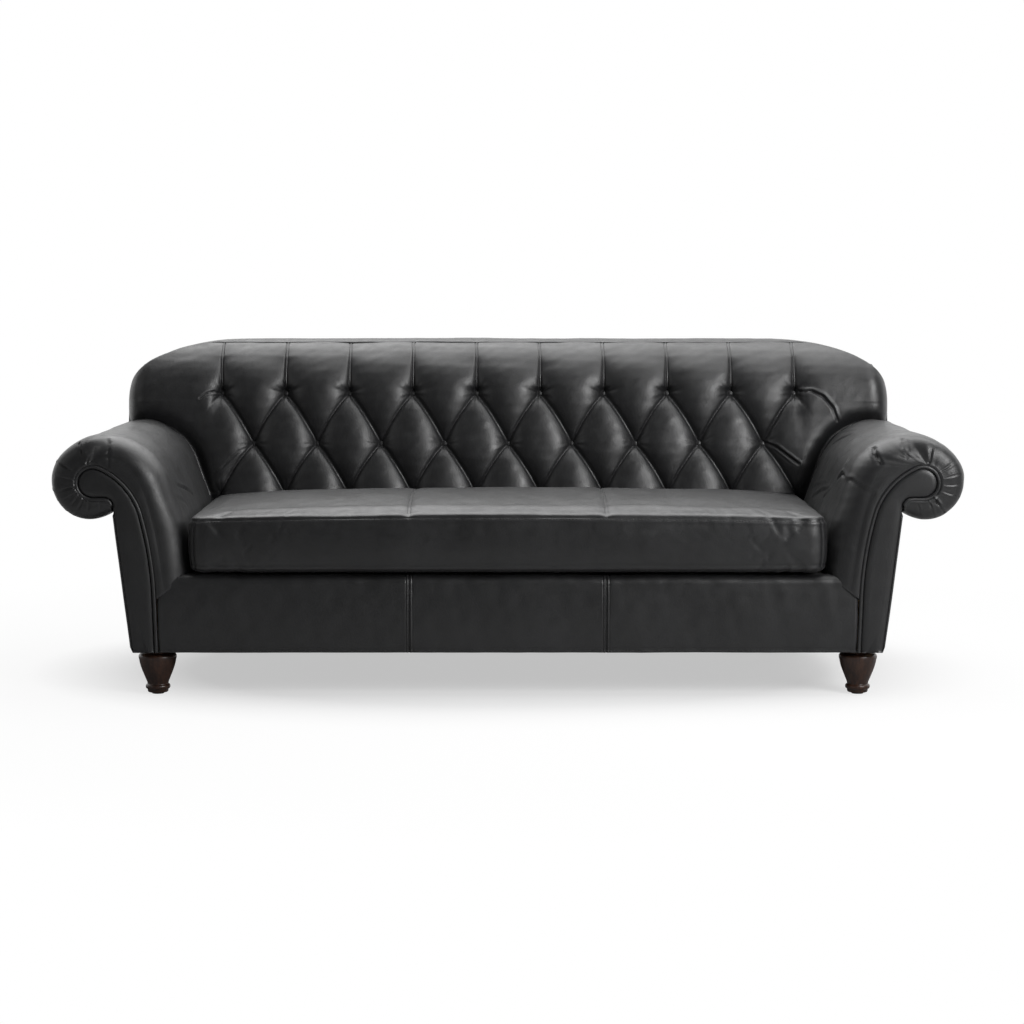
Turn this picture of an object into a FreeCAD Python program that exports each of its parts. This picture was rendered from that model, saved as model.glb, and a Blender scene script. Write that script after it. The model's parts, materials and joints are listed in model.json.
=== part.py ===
import FreeCAD, Part
import math
import os

os.makedirs("parts", exist_ok=True)
V = FreeCAD.Vector

# A rolled-arm sofa with a deep-buttoned back, one loose bench cushion and four turned legs.
# X runs along the seat, -Y is the front, Z is up. The origin is on the floor under the middle.

# Overall places
frontY = -490.0
rearY = 490.0
crestHeight = 870.0
legHeight = 112.0

# Clearances
gap = 0.3
runGap = 0.4
cutOver = 1.0
padGap = 1.0

# Arm roll and inside arm
rollX = 1040.0
rollZ = 540.0
rollRadius = 95.0
crownRadius = 155.0
crownJoin = 45.0
insideAngle = 160.0
insideRun = 115.0
insideBend = 250.0
insideLean = 3.0
tuckAngle = -125.0
armBase = 306.0
armPad = 20.0
armEdge = 13.0

# Arm front panel and its piping
pipingRadius = 4.0
panelInX = 877.0
panelStraight = 138.0
panelLean = 1.7
panelBend = 892.0
panelTurn = 13.4
headInset = 10.0
headDrop = 3.0
headRadius = 41.0
neckRadius = 18.0
neckInset = 55.0
neckDrop = 79.0
sideFlare = 42.0
sidePanelThick = 6.0
armFacingThick = 20.0
armFacingEdge = 6.0
armCapThick = 12.0
armCapInset = 3.0
sideFrontInset = 2.0
skinPostRoom = 5.0
backCutGrow = 0.5
backCutFlare = 12.0
backCutFront = 60.0

# Timber
boardThick = 28.0
railThick = 28.0
railTop = 290.0
railEndX = 925.0
sideRailX = 883.0
bearerHigh = 60.0
bearerTop = 250.0
bearerSpacing = 450.0
blockLeg = 90.0
blockNotch = 8.0
armRailHigh = 60.0
armRailThick = 26.0
armRailZ = 330.0
armRailX = 908.0
rollRailSide = 44.0
skinThick = 4.0
skinOpenZ = 480.0
postThick = 32.0
postX = 896.0
postOver = 30.0
topRailDeep = 48.0
topRailHigh = 55.0
topRailDrop = 165.0
topRailInset = 12.0
ribThick = 18.0
ribEndX = 750.0
tackingRailBack = 9.0
tackingRailZ = 316.0
tackingRailHigh = 50.0

# Back face, roll and padding
backRake = 12.0
backFaceY = 142.0
crestOverRow = 140.0
rowGap = 137.0
buttonPitch = 175.0
buttonColumns = 10
backPad = 72.0
coreThick = 16.0
seamAngle = 111.0
rollEnd = -70.0
pleatSteps = 5
rollSteps = 5
tailSteps = 4
coreEnd = -58.0
backHalf = 1051.0
crestHalf = 637.0
shoulderDrop = 179.0
shoulderPower = 2.6
steepest = 0.3
endSoft = 16.0
endSoftLow = 6.0
backFoot = 330.0
lowFaceShare = 0.56
lowFacePad = 42.0
footPad = 34.0
footFold = 24.0
lowFaceFold = 26.0
pitDepth = 17.0
foldHeight = 44.0
pleatHeight = 56.0
pleatHalf = 6.0
backButtonRadius = 9.0
buttonHigh = 6.0
pitRoom = 4.0
bulgeSoft = 45.0
foldPower = 0.8
pleatPower = 0.6
pleatRise = 1.7
lastFoldDrop = 12.0
leastBulge = 1.5
backPanelY = 396.0
backPanelThick = 8.0
backPanelHalf = 868.0
endPanelThick = 12.0
endPanelInset = 39.0
endPanelDrop = 240.0
endPanelTurn = -70.0

# Webbing, deck and base cloth
webThick = 2.0
webWide = 60.0
seatWebs = 12
seatWebPitch = 124.0
crossWebs = 5
crossWebPitch = 120.0
crossWebStartY = -340.0
backWebRoom = 78.0
backWebStart = 60.0
backWebTopDrop = 42.0
deckPadThick = 16.0
deckClothThick = 1.2
deckHalf = 786.0
deckRearY = 196.0
dustThick = 1.2

# Front rail upholstery
railCoverTop = 306.0
railCoverRadius = 24.0
railCoverPad = 10.0
railCoverRearY = -416.0
railCoverBow = 5.0
railFootInset = 4.0
seamX = 246.0
seamWide = 3.0
seamDeep = 1.6

# Bench cushion
cushionHalf = 780.0
cushionFrontY = -487.0
cushionRearY = 130.0
cushionSeamZ = 456.0
crownHigh = 20.0
leastCrown = 1.0
boxingBulge = 7.0
drawnIn = 5.0
cushionEdge = 9.0
cushionHeel = 5.0
coverWall = 9.0
coreSide = 14.0
coreFront = 22.0
coreRear = 18.0
coreTop = 6.0
zipHalf = 560.0
zipZ = 385.0
tapeHigh = 30.0
tapeThick = 1.2
teethHigh = 6.0
teethThick = 1.6
sliderLong = 12.0
sliderWall = 1.4
pullLong = 20.0
pullHigh = 6.0
teethInset = 6.0
sliderInset = 30.0

# Legs
legX = 883.0
neckWide = 38.0
bunWide = 48.0
ankleWide = 26.5
beadWide = 31.0
bunDrop = 14.0
hipDrop = 35.0
hipIn = 6.0
calfHigh = 52.0
calfOut = 5.0
ankleHigh = 28.0
beadHigh = 18.0
footIn = 2.0
glideWide = 15.0
glideHigh = 4.0
boltRadius = 4.0
boltLow = 62.0
boltHigh = 150.0
plateThick = 2.5
plateHalf = 30.0

# Places that follow from the sizes above
headX = rollX - headInset
headZ = rollZ - headDrop
outTopX = rollX - neckInset
outTopZ = rollZ - neckDrop
outBottomX = outTopX - sideFlare
halfTurn = 180.0
panelFrontY = frontY + pipingRadius
boardFrontY = panelFrontY + armFacingThick
railFrontY = boardFrontY + boardThick
railRearY = railFrontY + railThick
frameRearY = backPanelY - backPanelThick
backRailY = frameRearY - railThick
rearBoardY = backRailY - boardThick
armRearY = frameRearY
deckZ = railTop + 2 * webThick
deckTopZ = deckZ + deckPadThick + deckClothThick
cushionZ = deckTopZ + gap
upperRowZ = crestHeight - crestOverRow
thirdRowZ = upperRowZ - 2 * rowGap
shoulderZ = crestHeight - shoulderDrop
endPanelX = backHalf - endPanelInset
endPanelLow = crestHeight - endPanelDrop
topRailHalf = endPanelX - topRailInset
topRailZ = crestHeight - topRailDrop
postTop = topRailZ + postOver
rake = math.radians(backRake)
frontRollR = crestOverRow / (1 - math.sin(rake))
upperFaceY = backFaceY + (upperRowZ - thirdRowZ) * math.tan(rake)
rollY = upperFaceY + frontRollR * math.cos(rake)
frontRollZ = crestHeight - frontRollR
rearRollR = rearY - rollY
rearRollZ = crestHeight - rearRollR
crestStart = halfTurn - backRake
crestTop = 90.0


def line(a, b):
    return Part.makeLine(a, b)


def arc(a, b, c):
    return Part.Arc(a, b, c).toShape()


def box(x0, x1, y0, y1, z0, z1):
    return Part.makeBox(x1 - x0, y1 - y0, z1 - z0, V(x0, y0, z0))


def mirrored(shape):
    return shape.mirror(V(0, 0, 0), V(1, 0, 0))


def save(name, shapes):
    shape = Part.makeCompound(shapes) if isinstance(shapes, list) else shapes
    shape.exportStep("parts/" + name + ".step")
    solids = shape.Solids
    print(name, len(solids), round(sum(s.Volume for s in solids)), all(s.isValid() for s in solids))


def saveBoth(name, shape):
    save(name + "_right", shape)
    save(name + "_left", mirrored(shape))


def polar(cx, cz, radius, degrees):
    a = math.radians(degrees)
    return V(cx + radius * math.cos(a), 0, cz + radius * math.sin(a))


def polarArc(cx, cz, radius, start, end):
    return arc(polar(cx, cz, radius, start), polar(cx, cz, radius, (start + end) / 2),
               polar(cx, cz, radius, end))


def prism(edges, y0, y1):
    face = Part.Face(Part.Wire(edges))
    face.translate(V(0, y0, 0))
    return face.extrude(V(0, y1 - y0, 0))


def sidePlaneX(z, inset):
    return outTopX - (outTopZ - z) * (outTopX - outBottomX) / (outTopZ - legHeight) - inset


# Outline of the padded arm in the XZ plane, moved inward by a depth
def armEdges(depth, outward=0.0, base=armBase):
    join = polar(rollX, rollZ, rollRadius - crownRadius, crownJoin)
    crown = crownRadius - depth
    top = polar(join.x, join.z, crown, insideAngle)
    high = math.radians(insideAngle - 90)
    knee = top - V(math.cos(high), 0, math.sin(high)) * insideRun
    bend = insideBend - depth
    centre = knee + V(math.sin(high), 0, -math.cos(high)) * bend
    low = math.radians(90 - insideLean)
    half = (high + low) / 2
    waist = centre + V(-math.sin(half), 0, math.cos(half)) * bend
    heel = centre + V(-math.sin(low), 0, math.cos(low)) * bend
    foot = V(heel.x - (heel.z - base) * math.tan(math.radians(insideLean)), 0, base)
    tuck = polar(rollX, rollZ, rollRadius - depth, tuckAngle)
    edges = [line(foot, heel), arc(heel, waist, knee), line(knee, top),
             polarArc(join.x, join.z, crown, insideAngle, crownJoin),
             polarArc(rollX, rollZ, rollRadius - depth, crownJoin, tuckAngle)]
    inset = sidePanelThick + gap
    shoulder = polar(rollX, rollZ, rollRadius, tuckAngle)
    last = tuck
    if depth > 0:
        edges.append(line(tuck, shoulder))
        last = shoulder
    side = V(sidePlaneX(last.z, inset) + outward, 0, last.z)
    if abs(side.x - last.x) > 0.5:
        edges.append(line(last, side))
        last = side
    hem = V(sidePlaneX(base, inset) + outward, 0, base)
    edges += [line(last, hem), line(hem, foot)]
    return edges


# Piping line of the arm front: up the inside edge, round the head and back to the neck
def panelPath():
    heading = math.radians(90 - panelLean)
    a = V(panelInX, 0, legHeight)
    b = a + V(math.cos(heading), 0, math.sin(heading)) * panelStraight
    right = V(math.sin(heading), 0, -math.cos(heading))
    bendCentre = b + right * panelBend
    start = math.degrees(heading) + 90
    c = polar(bendCentre.x, bendCentre.z, panelBend, start - panelTurn)
    turned = heading - math.radians(panelTurn)
    right = V(math.sin(turned), 0, -math.cos(turned))
    away = c - V(headX, 0, headZ)
    radius = (headRadius ** 2 - away.dot(away)) / (2 * (away.dot(right) + headRadius))
    shoulder = c + right * radius
    meet = math.degrees(math.atan2(headZ - shoulder.z, headX - shoulder.x))
    first = math.degrees(turned) + 90
    under = V(headX, 0, headZ - headRadius)
    slope = math.atan2(outTopX - outBottomX, outTopZ - legHeight)
    endZ = under.z - neckRadius + neckRadius * math.sin(slope)
    endX = sidePlaneX(endZ, sidePanelThick - pipingRadius)
    neck = V(endX + neckRadius * math.cos(slope), 0, under.z)
    edges = [line(a, b),
             polarArc(bendCentre.x, bendCentre.z, panelBend, start, start - panelTurn),
             polarArc(shoulder.x, shoulder.z, radius, first, meet),
             polarArc(headX, headZ, headRadius, meet, -90),
             line(under, neck),
             polarArc(neck.x, neck.z - neckRadius, neckRadius, 90, 180 - math.degrees(slope))]
    return edges


def panelEdges():
    edges = panelPath()
    end = edges[-1].Vertexes[-1].Point
    start = edges[0].Vertexes[0].Point
    corner = V(sidePlaneX(legHeight, sidePanelThick - pipingRadius), 0, legHeight)
    return edges + [line(end, corner), line(corner, start)]


def facePrism(face, offset, y0, y1):
    if offset:
        face = face.makeOffset2D(offset, 2)
    face.translate(V(0, y0, 0))
    return face.extrude(V(0, y1 - y0, 0))


def panelPrism(offset, y0, y1):
    return facePrism(Part.Face(Part.Wire(panelEdges())), offset, y0, y1)


# The same outline sawn in short straight cuts, for the timber and the arm's skin
def boardPrism(offset, y0, y1):
    points = []
    for edge, steps in zip(panelEdges(), (1, 3, 4, 10, 1, 3, 1, 1)):
        points += edge.discretize(steps + 1)[:-1]
    return facePrism(Part.Face(Part.makePolygon(points + points[:1])), offset, y0, y1)


# Many-sided rod for small bolts, glides and their holes
def rod(radius, x, y, z0, z1, sides=8):
    points = [V(x + radius * math.cos(2 * math.pi * i / sides),
                y + radius * math.sin(2 * math.pi * i / sides), z0) for i in range(sides)]
    return Part.Face(Part.makePolygon(points + points[:1])).extrude(V(0, 0, z1 - z0))


# A low button as a short prism
def buttonAt(spot, way, radius, high, sides=8):
    points = [V(radius * math.cos(2 * math.pi * i / sides), radius * math.sin(2 * math.pi * i / sides), 0)
              for i in range(sides)]
    button = Part.Face(Part.makePolygon(points + points[:1])).extrude(V(0, 0, high))
    button.Placement = FreeCAD.Placement(spot, FreeCAD.Rotation(V(0, 0, 1), way))
    return button


# Legs with plates, bolts and glides
def legAt(x, y):
    top = legHeight - plateThick
    profile = [V(neckWide, 0, top), V(bunWide, 0, top - bunDrop), V(bunWide - hipIn, 0, top - hipDrop),
               V(ankleWide + calfOut, 0, calfHigh), V(ankleWide, 0, ankleHigh), V(beadWide, 0, beadHigh),
               V(ankleWide - footIn, 0, glideHigh)]
    points = [V(0, 0, top)] + profile + [V(0, 0, glideHigh), V(0, 0, top)]
    leg = Part.Face(Part.makePolygon(points)).revolve(V(0, 0, 0), V(0, 0, 1), 360)
    leg = leg.cut(rod(boltRadius + gap, 0, 0, boltLow - gap, top + cutOver))
    leg.translate(V(x, y, 0))
    return leg


frontLegY = (railFrontY + railRearY) / 2
rearLegY = (backRailY + frameRearY) / 2
legPlaces = [(-legX, frontLegY), (legX, frontLegY), (-legX, rearLegY), (legX, rearLegY)]
save("front_legs", [legAt(*p) for p in legPlaces[:2]])
save("rear_legs", [legAt(*p) for p in legPlaces[2:]])
save("leg_glides", [rod(glideWide, x, y, 0, glideHigh, 12) for x, y in legPlaces])
save("leg_bolts", [rod(boltRadius, x, y, boltLow, boltHigh) for x, y in legPlaces])


def boltHoles(places, low, high):
    return Part.makeCompound([rod(boltRadius + gap, x, y, low, high) for x, y in places])


plates = [box(x - plateHalf, x + plateHalf, y - railThick / 2, y + railThick / 2,
              legHeight - plateThick, legHeight) for x, y in legPlaces]
holes = boltHoles(legPlaces, legHeight - plateThick, legHeight)
save("leg_plates", [p.cut(holes) for p in plates])


# Seat frame
frontRail = box(-railEndX, railEndX, railFrontY, railRearY, legHeight, railTop)
save("front_rail", frontRail.cut(boltHoles(legPlaces[:2], legHeight, boltHigh + gap)))
backRail = box(-railEndX, railEndX, backRailY, frameRearY, legHeight, railTop)
save("back_rail", backRail.cut(boltHoles(legPlaces[2:], legHeight, boltHigh + gap)))
sideRail = box(sideRailX, sideRailX + railThick, railRearY, rearBoardY, legHeight, railTop + webThick)
saveBoth("side_rail", sideRail)
save("seat_bearers", [box(x - railThick / 2, x + railThick / 2, railRearY, backRailY,
                          bearerTop - bearerHigh, bearerTop)
                      for x in (-bearerSpacing, 0, bearerSpacing)])


def blockPair(points):
    block = Part.Face(Part.makePolygon(points + points[:1])).extrude(V(0, 0, blockLeg))
    return [block, mirrored(block)]


save("corner_blocks", blockPair([V(sideRailX, railRearY, legHeight),
                                 V(sideRailX - blockLeg, railRearY, legHeight),
                                 V(sideRailX, railRearY + blockLeg, legHeight)]))
save("rear_corner_blocks", blockPair([V(sideRailX - blockNotch, backRailY, legHeight),
                                      V(sideRailX - blockLeg, backRailY, legHeight),
                                      V(sideRailX, backRailY - blockLeg, legHeight),
                                      V(sideRailX, rearBoardY, legHeight),
                                      V(sideRailX - blockNotch, rearBoardY, legHeight)]))


# Arm timber
board = boardPrism(-pipingRadius - 2 * gap, 0, boardThick)
frontBoard = board.copy()
frontBoard.translate(V(0, boardFrontY, 0))
rearBoard = board.copy()
rearBoard.translate(V(0, rearBoardY, 0))
saveBoth("arm_front_board", frontBoard)
saveBoth("arm_rear_board", rearBoard)
post = box(postX, postX + postThick, rearBoardY - postThick, rearBoardY, railTop + webThick, postTop)
armLowRail = box(armRailX, armRailX + armRailThick, railFrontY, rearBoardY - postThick, armRailZ,
                 armRailZ + armRailHigh)
rollRail = box(headX - rollRailSide / 2, headX + rollRailSide / 2, railFrontY, rearBoardY,
               headZ - rollRailSide / 2, headZ + rollRailSide / 2)
saveBoth("arm_low_rail", armLowRail)
saveBoth("arm_roll_rail", rollRail)
saveBoth("back_post", post)

# Padded arm
postHole = box(postX - gap, postX + postThick + gap, rearBoardY - postThick - gap, rearBoardY + gap,
               armBase - skinPostRoom, postTop + skinPostRoom)
skinOut = -pipingRadius - 2 * gap
skin = boardPrism(skinOut, railFrontY, rearBoardY)
skin = skin.cut(boardPrism(skinOut - skinThick, railFrontY - gap, rearBoardY + gap))
openX = sidePlaneX(armBase, armPad)
skin = skin.cut(box(openX, outTopX, railFrontY - gap, rearBoardY + gap, legHeight, skinOpenZ))
skin = skin.cut(box(0, outTopX, railFrontY - gap, rearBoardY + gap, legHeight, armBase)).cut(postHole)
skin = max(skin.Solids, key=lambda s: s.Volume)
saveBoth("arm_skin", skin)

foam = prism(armEdges(armPad + gap), boardFrontY, armRearY)
foam = foam.cut(boardPrism(-pipingRadius - gap, boardFrontY - cutOver, armRearY + cutOver)).cut(postHole)
foam = max(foam.Solids, key=lambda s: s.Volume)
saveBoth("arm_foam", foam)

shell = prism(armEdges(0.0), panelFrontY, armRearY)
frontEdges = [e for e in shell.Edges
              if abs(e.BoundBox.YMin - panelFrontY) < 0.01 and abs(e.BoundBox.YMax - panelFrontY) < 0.01
              and e.BoundBox.ZMax > armBase + cutOver]
rounded = [e for e in frontEdges if e.BoundBox.ZMax > outTopZ + armPad or e.BoundBox.XMax < panelInX]
shell = shell.makeChamfer(armEdge, rounded)
shell = shell.cut(prism(armEdges(armPad, armPad, armBase - armPad), boardFrontY - gap, armRearY + cutOver))
shell = shell.cut(panelPrism(pipingRadius + gap, panelFrontY - cutOver, boardFrontY + cutOver)).cut(postHole)
shell = max(shell.Solids, key=lambda s: s.Volume)
saveBoth("arm_cover", shell)

# Arm front panel, piping, rear cap and outside panel
facing = panelPrism(-pipingRadius - gap, panelFrontY, boardFrontY)
facingEdges = [e for e in facing.Edges
               if abs(e.BoundBox.YMin - panelFrontY) < 0.01 and abs(e.BoundBox.YMax - panelFrontY) < 0.01]
facing = facing.makeChamfer(armFacingEdge, facingEdges)
saveBoth("arm_front_panel", facing)

path = Part.Wire(panelPath())
path.translate(V(0, panelFrontY, 0))
startPoint = path.Vertexes[0].Point
pipingWay = path.Edges[0].tangentAt(path.Edges[0].FirstParameter)
corners = [V(pipingRadius * math.cos(math.radians(a)), pipingRadius * math.sin(math.radians(a)), 0)
           for a in range(0, 360, 90)]
ring = Part.makePolygon(corners + corners[:1])
ring.Placement = FreeCAD.Placement(startPoint, FreeCAD.Rotation(V(0, 0, 1), pipingWay))
piping = path.makePipeShell([ring], True, False)
save("arm_piping", [piping, mirrored(piping)])

cap = prism(armEdges(armCapInset, 0.0, legHeight), armRearY, armRearY + armCapThick)
cap = cap.cut(box(0, backPanelHalf + gap, armRearY, armRearY + armCapThick, 0, crestHeight))
saveBoth("arm_rear_cap", cap)

sideTopZ = polar(rollX, rollZ, rollRadius, tuckAngle).z - sideFrontInset
sideFace = [V(sidePlaneX(legHeight, 0), 0, legHeight), V(sidePlaneX(sideTopZ, 0), 0, sideTopZ),
            V(sidePlaneX(sideTopZ, sidePanelThick), 0, sideTopZ),
            V(sidePlaneX(legHeight, sidePanelThick), 0, legHeight)]
sideFace.append(sideFace[0])
outside = Part.Face(Part.makePolygon(sideFace))
outside.translate(V(0, panelFrontY + sideFrontInset, 0))
outside = outside.extrude(V(0, backPanelY - panelFrontY - sideFrontInset, 0))
saveBoth("arm_outside_panel", outside)


# Places on the back: a point on the frame side of the padding and the way it faces
def faceSpot(z, depth):
    n = V(0, -math.cos(rake), math.sin(rake))
    return V(0, backFaceY + (z - thirdRowZ) * math.tan(rake), z) - n * depth, n


def frontRollSpot(degrees, depth):
    a = math.radians(degrees)
    n = V(0, math.cos(a), math.sin(a))
    return V(0, rollY, frontRollZ) + n * (frontRollR - depth), n


def rearRollSpot(degrees, depth):
    a = math.radians(degrees)
    n = V(0, math.cos(a), math.sin(a))
    return V(0, rollY, rearRollZ) + n * (rearRollR - depth), n


# Half width of the back at a height, and the height of its outline at a half width
def halfWidth(z):
    if z <= shoulderZ:
        return backHalf
    rise = min(1.0, (z - shoulderZ) / (crestHeight - shoulderZ))
    return crestHalf + (backHalf - crestHalf) * (1 - rise ** shoulderPower) ** (1 / shoulderPower)


def outlineHeight(x):
    if abs(x) <= crestHalf:
        return crestHeight
    run = min(1.0, (abs(x) - crestHalf) / (backHalf - crestHalf))
    return shoulderZ + (crestHeight - shoulderZ) * (1 - run ** shoulderPower) ** (1 / shoulderPower)


def limitAt(spot, n, x, most):
    if n.z < steepest:
        return most
    return min(most, (outlineHeight(x) - spot.z) / n.z)


def endPoints(spot, n):
    points = []
    for share, soft in ((0.86, endSoft), (0.66, endSoftLow), (0.45, 0.0), (0.0, 0.0)):
        t = backPad * share
        x = min(halfWidth(spot.z + n.z * t), backHalf - soft)
        points.append((x, t))
    return points


# One bulge between two folds, in four straight steps
def bulgePoints(x0, t0, x1, t1, top):
    points = []
    for share, rise in ((0.16, 0.62), (0.5, 1.0), (0.84, 0.62)):
        low = t0 + (t1 - t0) * share
        points.append((x0 + (x1 - x0) * share, low + (top - low) * rise))
    return points + [(x1, t1)]


def quiltSection(spot, n, crossings):
    (x1, t1), (xm, tm), (x2, t2), (x3, t3) = endPoints(spot, n)
    points = [(-x3, t3), (-x2, t2), (-xm, tm), (-x1, t1)]
    last = points[-1]
    for x, t, top in crossings:
        points += bulgePoints(last[0], last[1], x, t, top)
        last = points[-1]
    points += bulgePoints(last[0], last[1], x1, t1, crossings[0][2])
    points += [(xm, tm), (x2, t2), (x3, t3)]
    return [spot + n * t + V(x, 0, 0) for x, t in points]


def flatFace(points):
    return Part.Face(Part.makePolygon(points + points[:1]))


# Skin the sections with flat facets, two to a patch, and close the back and both ends
def facetSolid(sections):
    faces = [flatFace(sections[0]), flatFace(sections[-1])]
    for a, b in zip(sections, sections[1:]):
        faces.append(flatFace([a[0], a[-1], b[-1], b[0]]))
        for i in range(len(a) - 1):
            if (a[i] - b[i + 1]).Length < (a[i + 1] - b[i]).Length:
                faces += [flatFace([a[i], a[i + 1], b[i + 1]]), flatFace([a[i], b[i + 1], b[i]])]
            else:
                faces += [flatFace([a[i], a[i + 1], b[i]]), flatFace([a[i + 1], b[i + 1], b[i]])]
    skin = Part.makeCompound(faces)
    skin.sewShape()
    solid = Part.Solid(skin.Shells[0])
    return solid if solid.Volume > 0 else solid.reversed()


# Buttoned face: folds part from each button, cross the diamond and meet at the next row
def bulgeHeight(wide, low, full):
    return low + (full - low) * (1 - math.exp(-(wide / bulgeSoft) ** 2))


def quiltWire(spot, n, spread, low, full):
    crossings = []
    first = -(buttonColumns - 1) / 2 * buttonPitch
    lastX = -backHalf
    for k in range(buttonColumns):
        centre = first + k * buttonPitch
        for x in (centre - spread, centre + spread):
            wide = min(x - lastX, buttonPitch)
            mid = (x + lastX) / 2
            top = min(bulgeHeight(wide, low, full), limitAt(spot, n, mid, full) - cutOver)
            lowHere = min(low, limitAt(spot, n, x, full) - lastFoldDrop)
            crossings.append((x, lowHere, max(top, lowHere + leastBulge)))
            lastX = x
    return quiltSection(spot, n, crossings)


def foldLow(share):
    return pitDepth + (foldHeight - pitDepth) * math.sin(math.pi * share) ** foldPower


narrow = backButtonRadius + pitRoom
widest = buttonPitch / 2 - narrow
wires = []
lowFaceZ = backFoot + (thirdRowZ - backFoot) * lowFaceShare
for z, low, full in ((backFoot, footFold, footPad), (lowFaceZ, lowFaceFold, lowFacePad)):
    spot, n = faceSpot(z, backPad)
    wires.append(quiltWire(spot, n, narrow, low, full))
shares = (0.0, 0.16, 0.33, 0.5, 0.67, 0.84, 1.0)
for row in range(2):
    for share in shares[:-1] if row == 0 else shares:
        z = thirdRowZ + (row + share) * rowGap
        open_ = share if row == 0 else 1 - share
        spread = max(narrow, min(widest, open_ * buttonPitch / 2))
        low = foldLow(share)
        spot, n = faceSpot(z, backPad)
        wires.append(quiltWire(spot, n, spread, low, backPad))
for turn in range(1, pleatSteps + 1):
    degrees = crestStart - turn * (crestStart - seamAngle) / pleatSteps
    spot, n = frontRollSpot(degrees, backPad)
    rise = turn / pleatSteps
    low = pitDepth + (pleatHeight - pitDepth) * min(1.0, rise * pleatRise) ** pleatPower
    wires.append(quiltWire(spot, n, pleatHalf, low, backPad))
quilt = facetSolid(wires)
print("quilt", quilt.isValid(), round(quilt.Volume), len(quilt.Faces))

armCutter = prism(armEdges(-backCutGrow, backCutFlare), backFaceY - backCutFront,
                  armRearY + armCapThick + cutOver)
armCutters = Part.makeCompound([armCutter, mirrored(armCutter)])
quilt = quilt.cut(armCutters)
quilt = max(quilt.Solids, key=lambda s: s.Volume)

backButtons = []
n = faceSpot(0, 0)[1]
step = shares[1]
quarter = bulgeHeight(step * buttonPitch, foldLow(step), backPad)
pitFloor = bulgeHeight(2 * narrow, pitDepth, backPad)
seat = pitFloor + (quarter - pitFloor) * backButtonRadius / (step * rowGap / math.cos(rake)) + gap
for row, z in enumerate((thirdRowZ, thirdRowZ + rowGap, upperRowZ)):
    count = buttonColumns - row % 2
    for k in range(count):
        x = (k - (count - 1) / 2) * buttonPitch
        spot = faceSpot(z, backPad)[0] + V(x, 0, 0)
        backButtons.append(buttonAt(spot + n * seat, n, backButtonRadius, buttonHigh))
save("buttoned_back", quilt)
save("back_buttons", backButtons)


# Plain padding over the top and down the rear of the roll
def rollSection(spot, n):
    (x1, t1), (xm, tm), (x2, t2), (x3, t3) = endPoints(spot, n)
    side = [(x3, t3), (x2, t2), (xm, tm), (x1, t1)]
    for share in (0.72, 0.36):
        x = crestHalf + (x1 - crestHalf) * share
        side.append((x, max(limitAt(spot, n, x, backPad), t1 + (backPad - t1) * (1 - share ** 2))))
    side.append((crestHalf, backPad))
    points = [(-x, t) for x, t in side] + side[::-1]
    return [spot + n * t + V(x, 0, 0) for x, t in points]


sections = [rollSection(*frontRollSpot(a, backPad))
            for a in (seamAngle, (seamAngle + crestTop) / 2, crestTop)]
rearTurns = [crestTop * (1 - turn / rollSteps) for turn in range(1, rollSteps + 1)]
rearTurns += [rollEnd * turn / tailSteps for turn in range(1, tailSteps + 1)]
sections += [rollSection(*rearRollSpot(a, backPad)) for a in rearTurns]
roll = facetSolid(sections)
print("roll", roll.isValid(), round(roll.Volume))
roll = roll.cut(armCutters)
roll = max(roll.Solids, key=lambda s: s.Volume)
save("back_roll", roll)


# Section of the back in the YZ plane at a depth behind the padding
def backEdges(depth, start, end):
    foot, n = faceSpot(start, backPad + depth)
    foot = V(0, foot.y + (start - foot.z) * math.tan(rake), start)
    top = frontRollSpot(crestStart, backPad + depth)[0]
    mid = frontRollSpot((crestStart + crestTop) / 2, backPad + depth)[0]
    crown = frontRollSpot(crestTop, backPad + depth)[0]
    edges = [line(foot, top), arc(top, mid, crown)]
    crown2 = rearRollSpot(crestTop, backPad + depth)[0]
    if (crown - crown2).Length > 1e-6:
        edges.append(line(crown, crown2))
    edges.append(arc(crown2, rearRollSpot((crestTop + end) / 2, backPad + depth)[0],
                     rearRollSpot(end, backPad + depth)[0]))
    return edges


def sectionSolid(edges, x0, x1):
    face = Part.Face(Part.Wire(edges))
    face.translate(V(x0, 0, 0))
    return face.extrude(V(x1 - x0, 0, 0))


outer = backEdges(padGap, backFoot, coreEnd)
inner = backEdges(padGap + coreThick, backFoot, coreEnd)
firstOut, lastOut = outer[0].Vertexes[0].Point, outer[-1].Vertexes[-1].Point
firstIn, lastIn = inner[0].Vertexes[0].Point, inner[-1].Vertexes[-1].Point
core = sectionSolid(outer + [line(lastOut, lastIn)] + inner[::-1] + [line(firstIn, firstOut)],
                    -endPanelX, endPanelX)
core = core.cut(armCutters)
core = max(core.Solids, key=lambda s: s.Volume)
save("back_foam", core)

ribDepth = padGap + gap + coreThick + webThick
ribCrown = rearRollR - backPad - ribDepth
ribEnd = -math.degrees(math.acos((frameRearY - rollY) / ribCrown))
ribOuter = backEdges(ribDepth, railTop, ribEnd)
ribFoot = ribOuter[0].Vertexes[0].Point
ribTail = ribOuter[-1].Vertexes[-1].Point
ribHeel = V(0, frameRearY, railTop)
ribSection = ribOuter + [line(ribTail, ribHeel), line(ribHeel, ribFoot)]
topRail = box(-topRailHalf, topRailHalf, rearBoardY, rearBoardY + topRailDeep, topRailZ,
              topRailZ + topRailHigh).cut(armCutters).Solids[0]
tackTopZ = tackingRailZ + tackingRailHigh
tackY = backFaceY + (tackTopZ - thirdRowZ) * math.tan(rake) + (backPad + ribDepth) / math.cos(rake)
tackY += tackingRailBack
tackRail = box(-ribEndX, ribEndX, tackY, tackY + railThick, tackingRailZ, tackTopZ)
ribs = []
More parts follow.
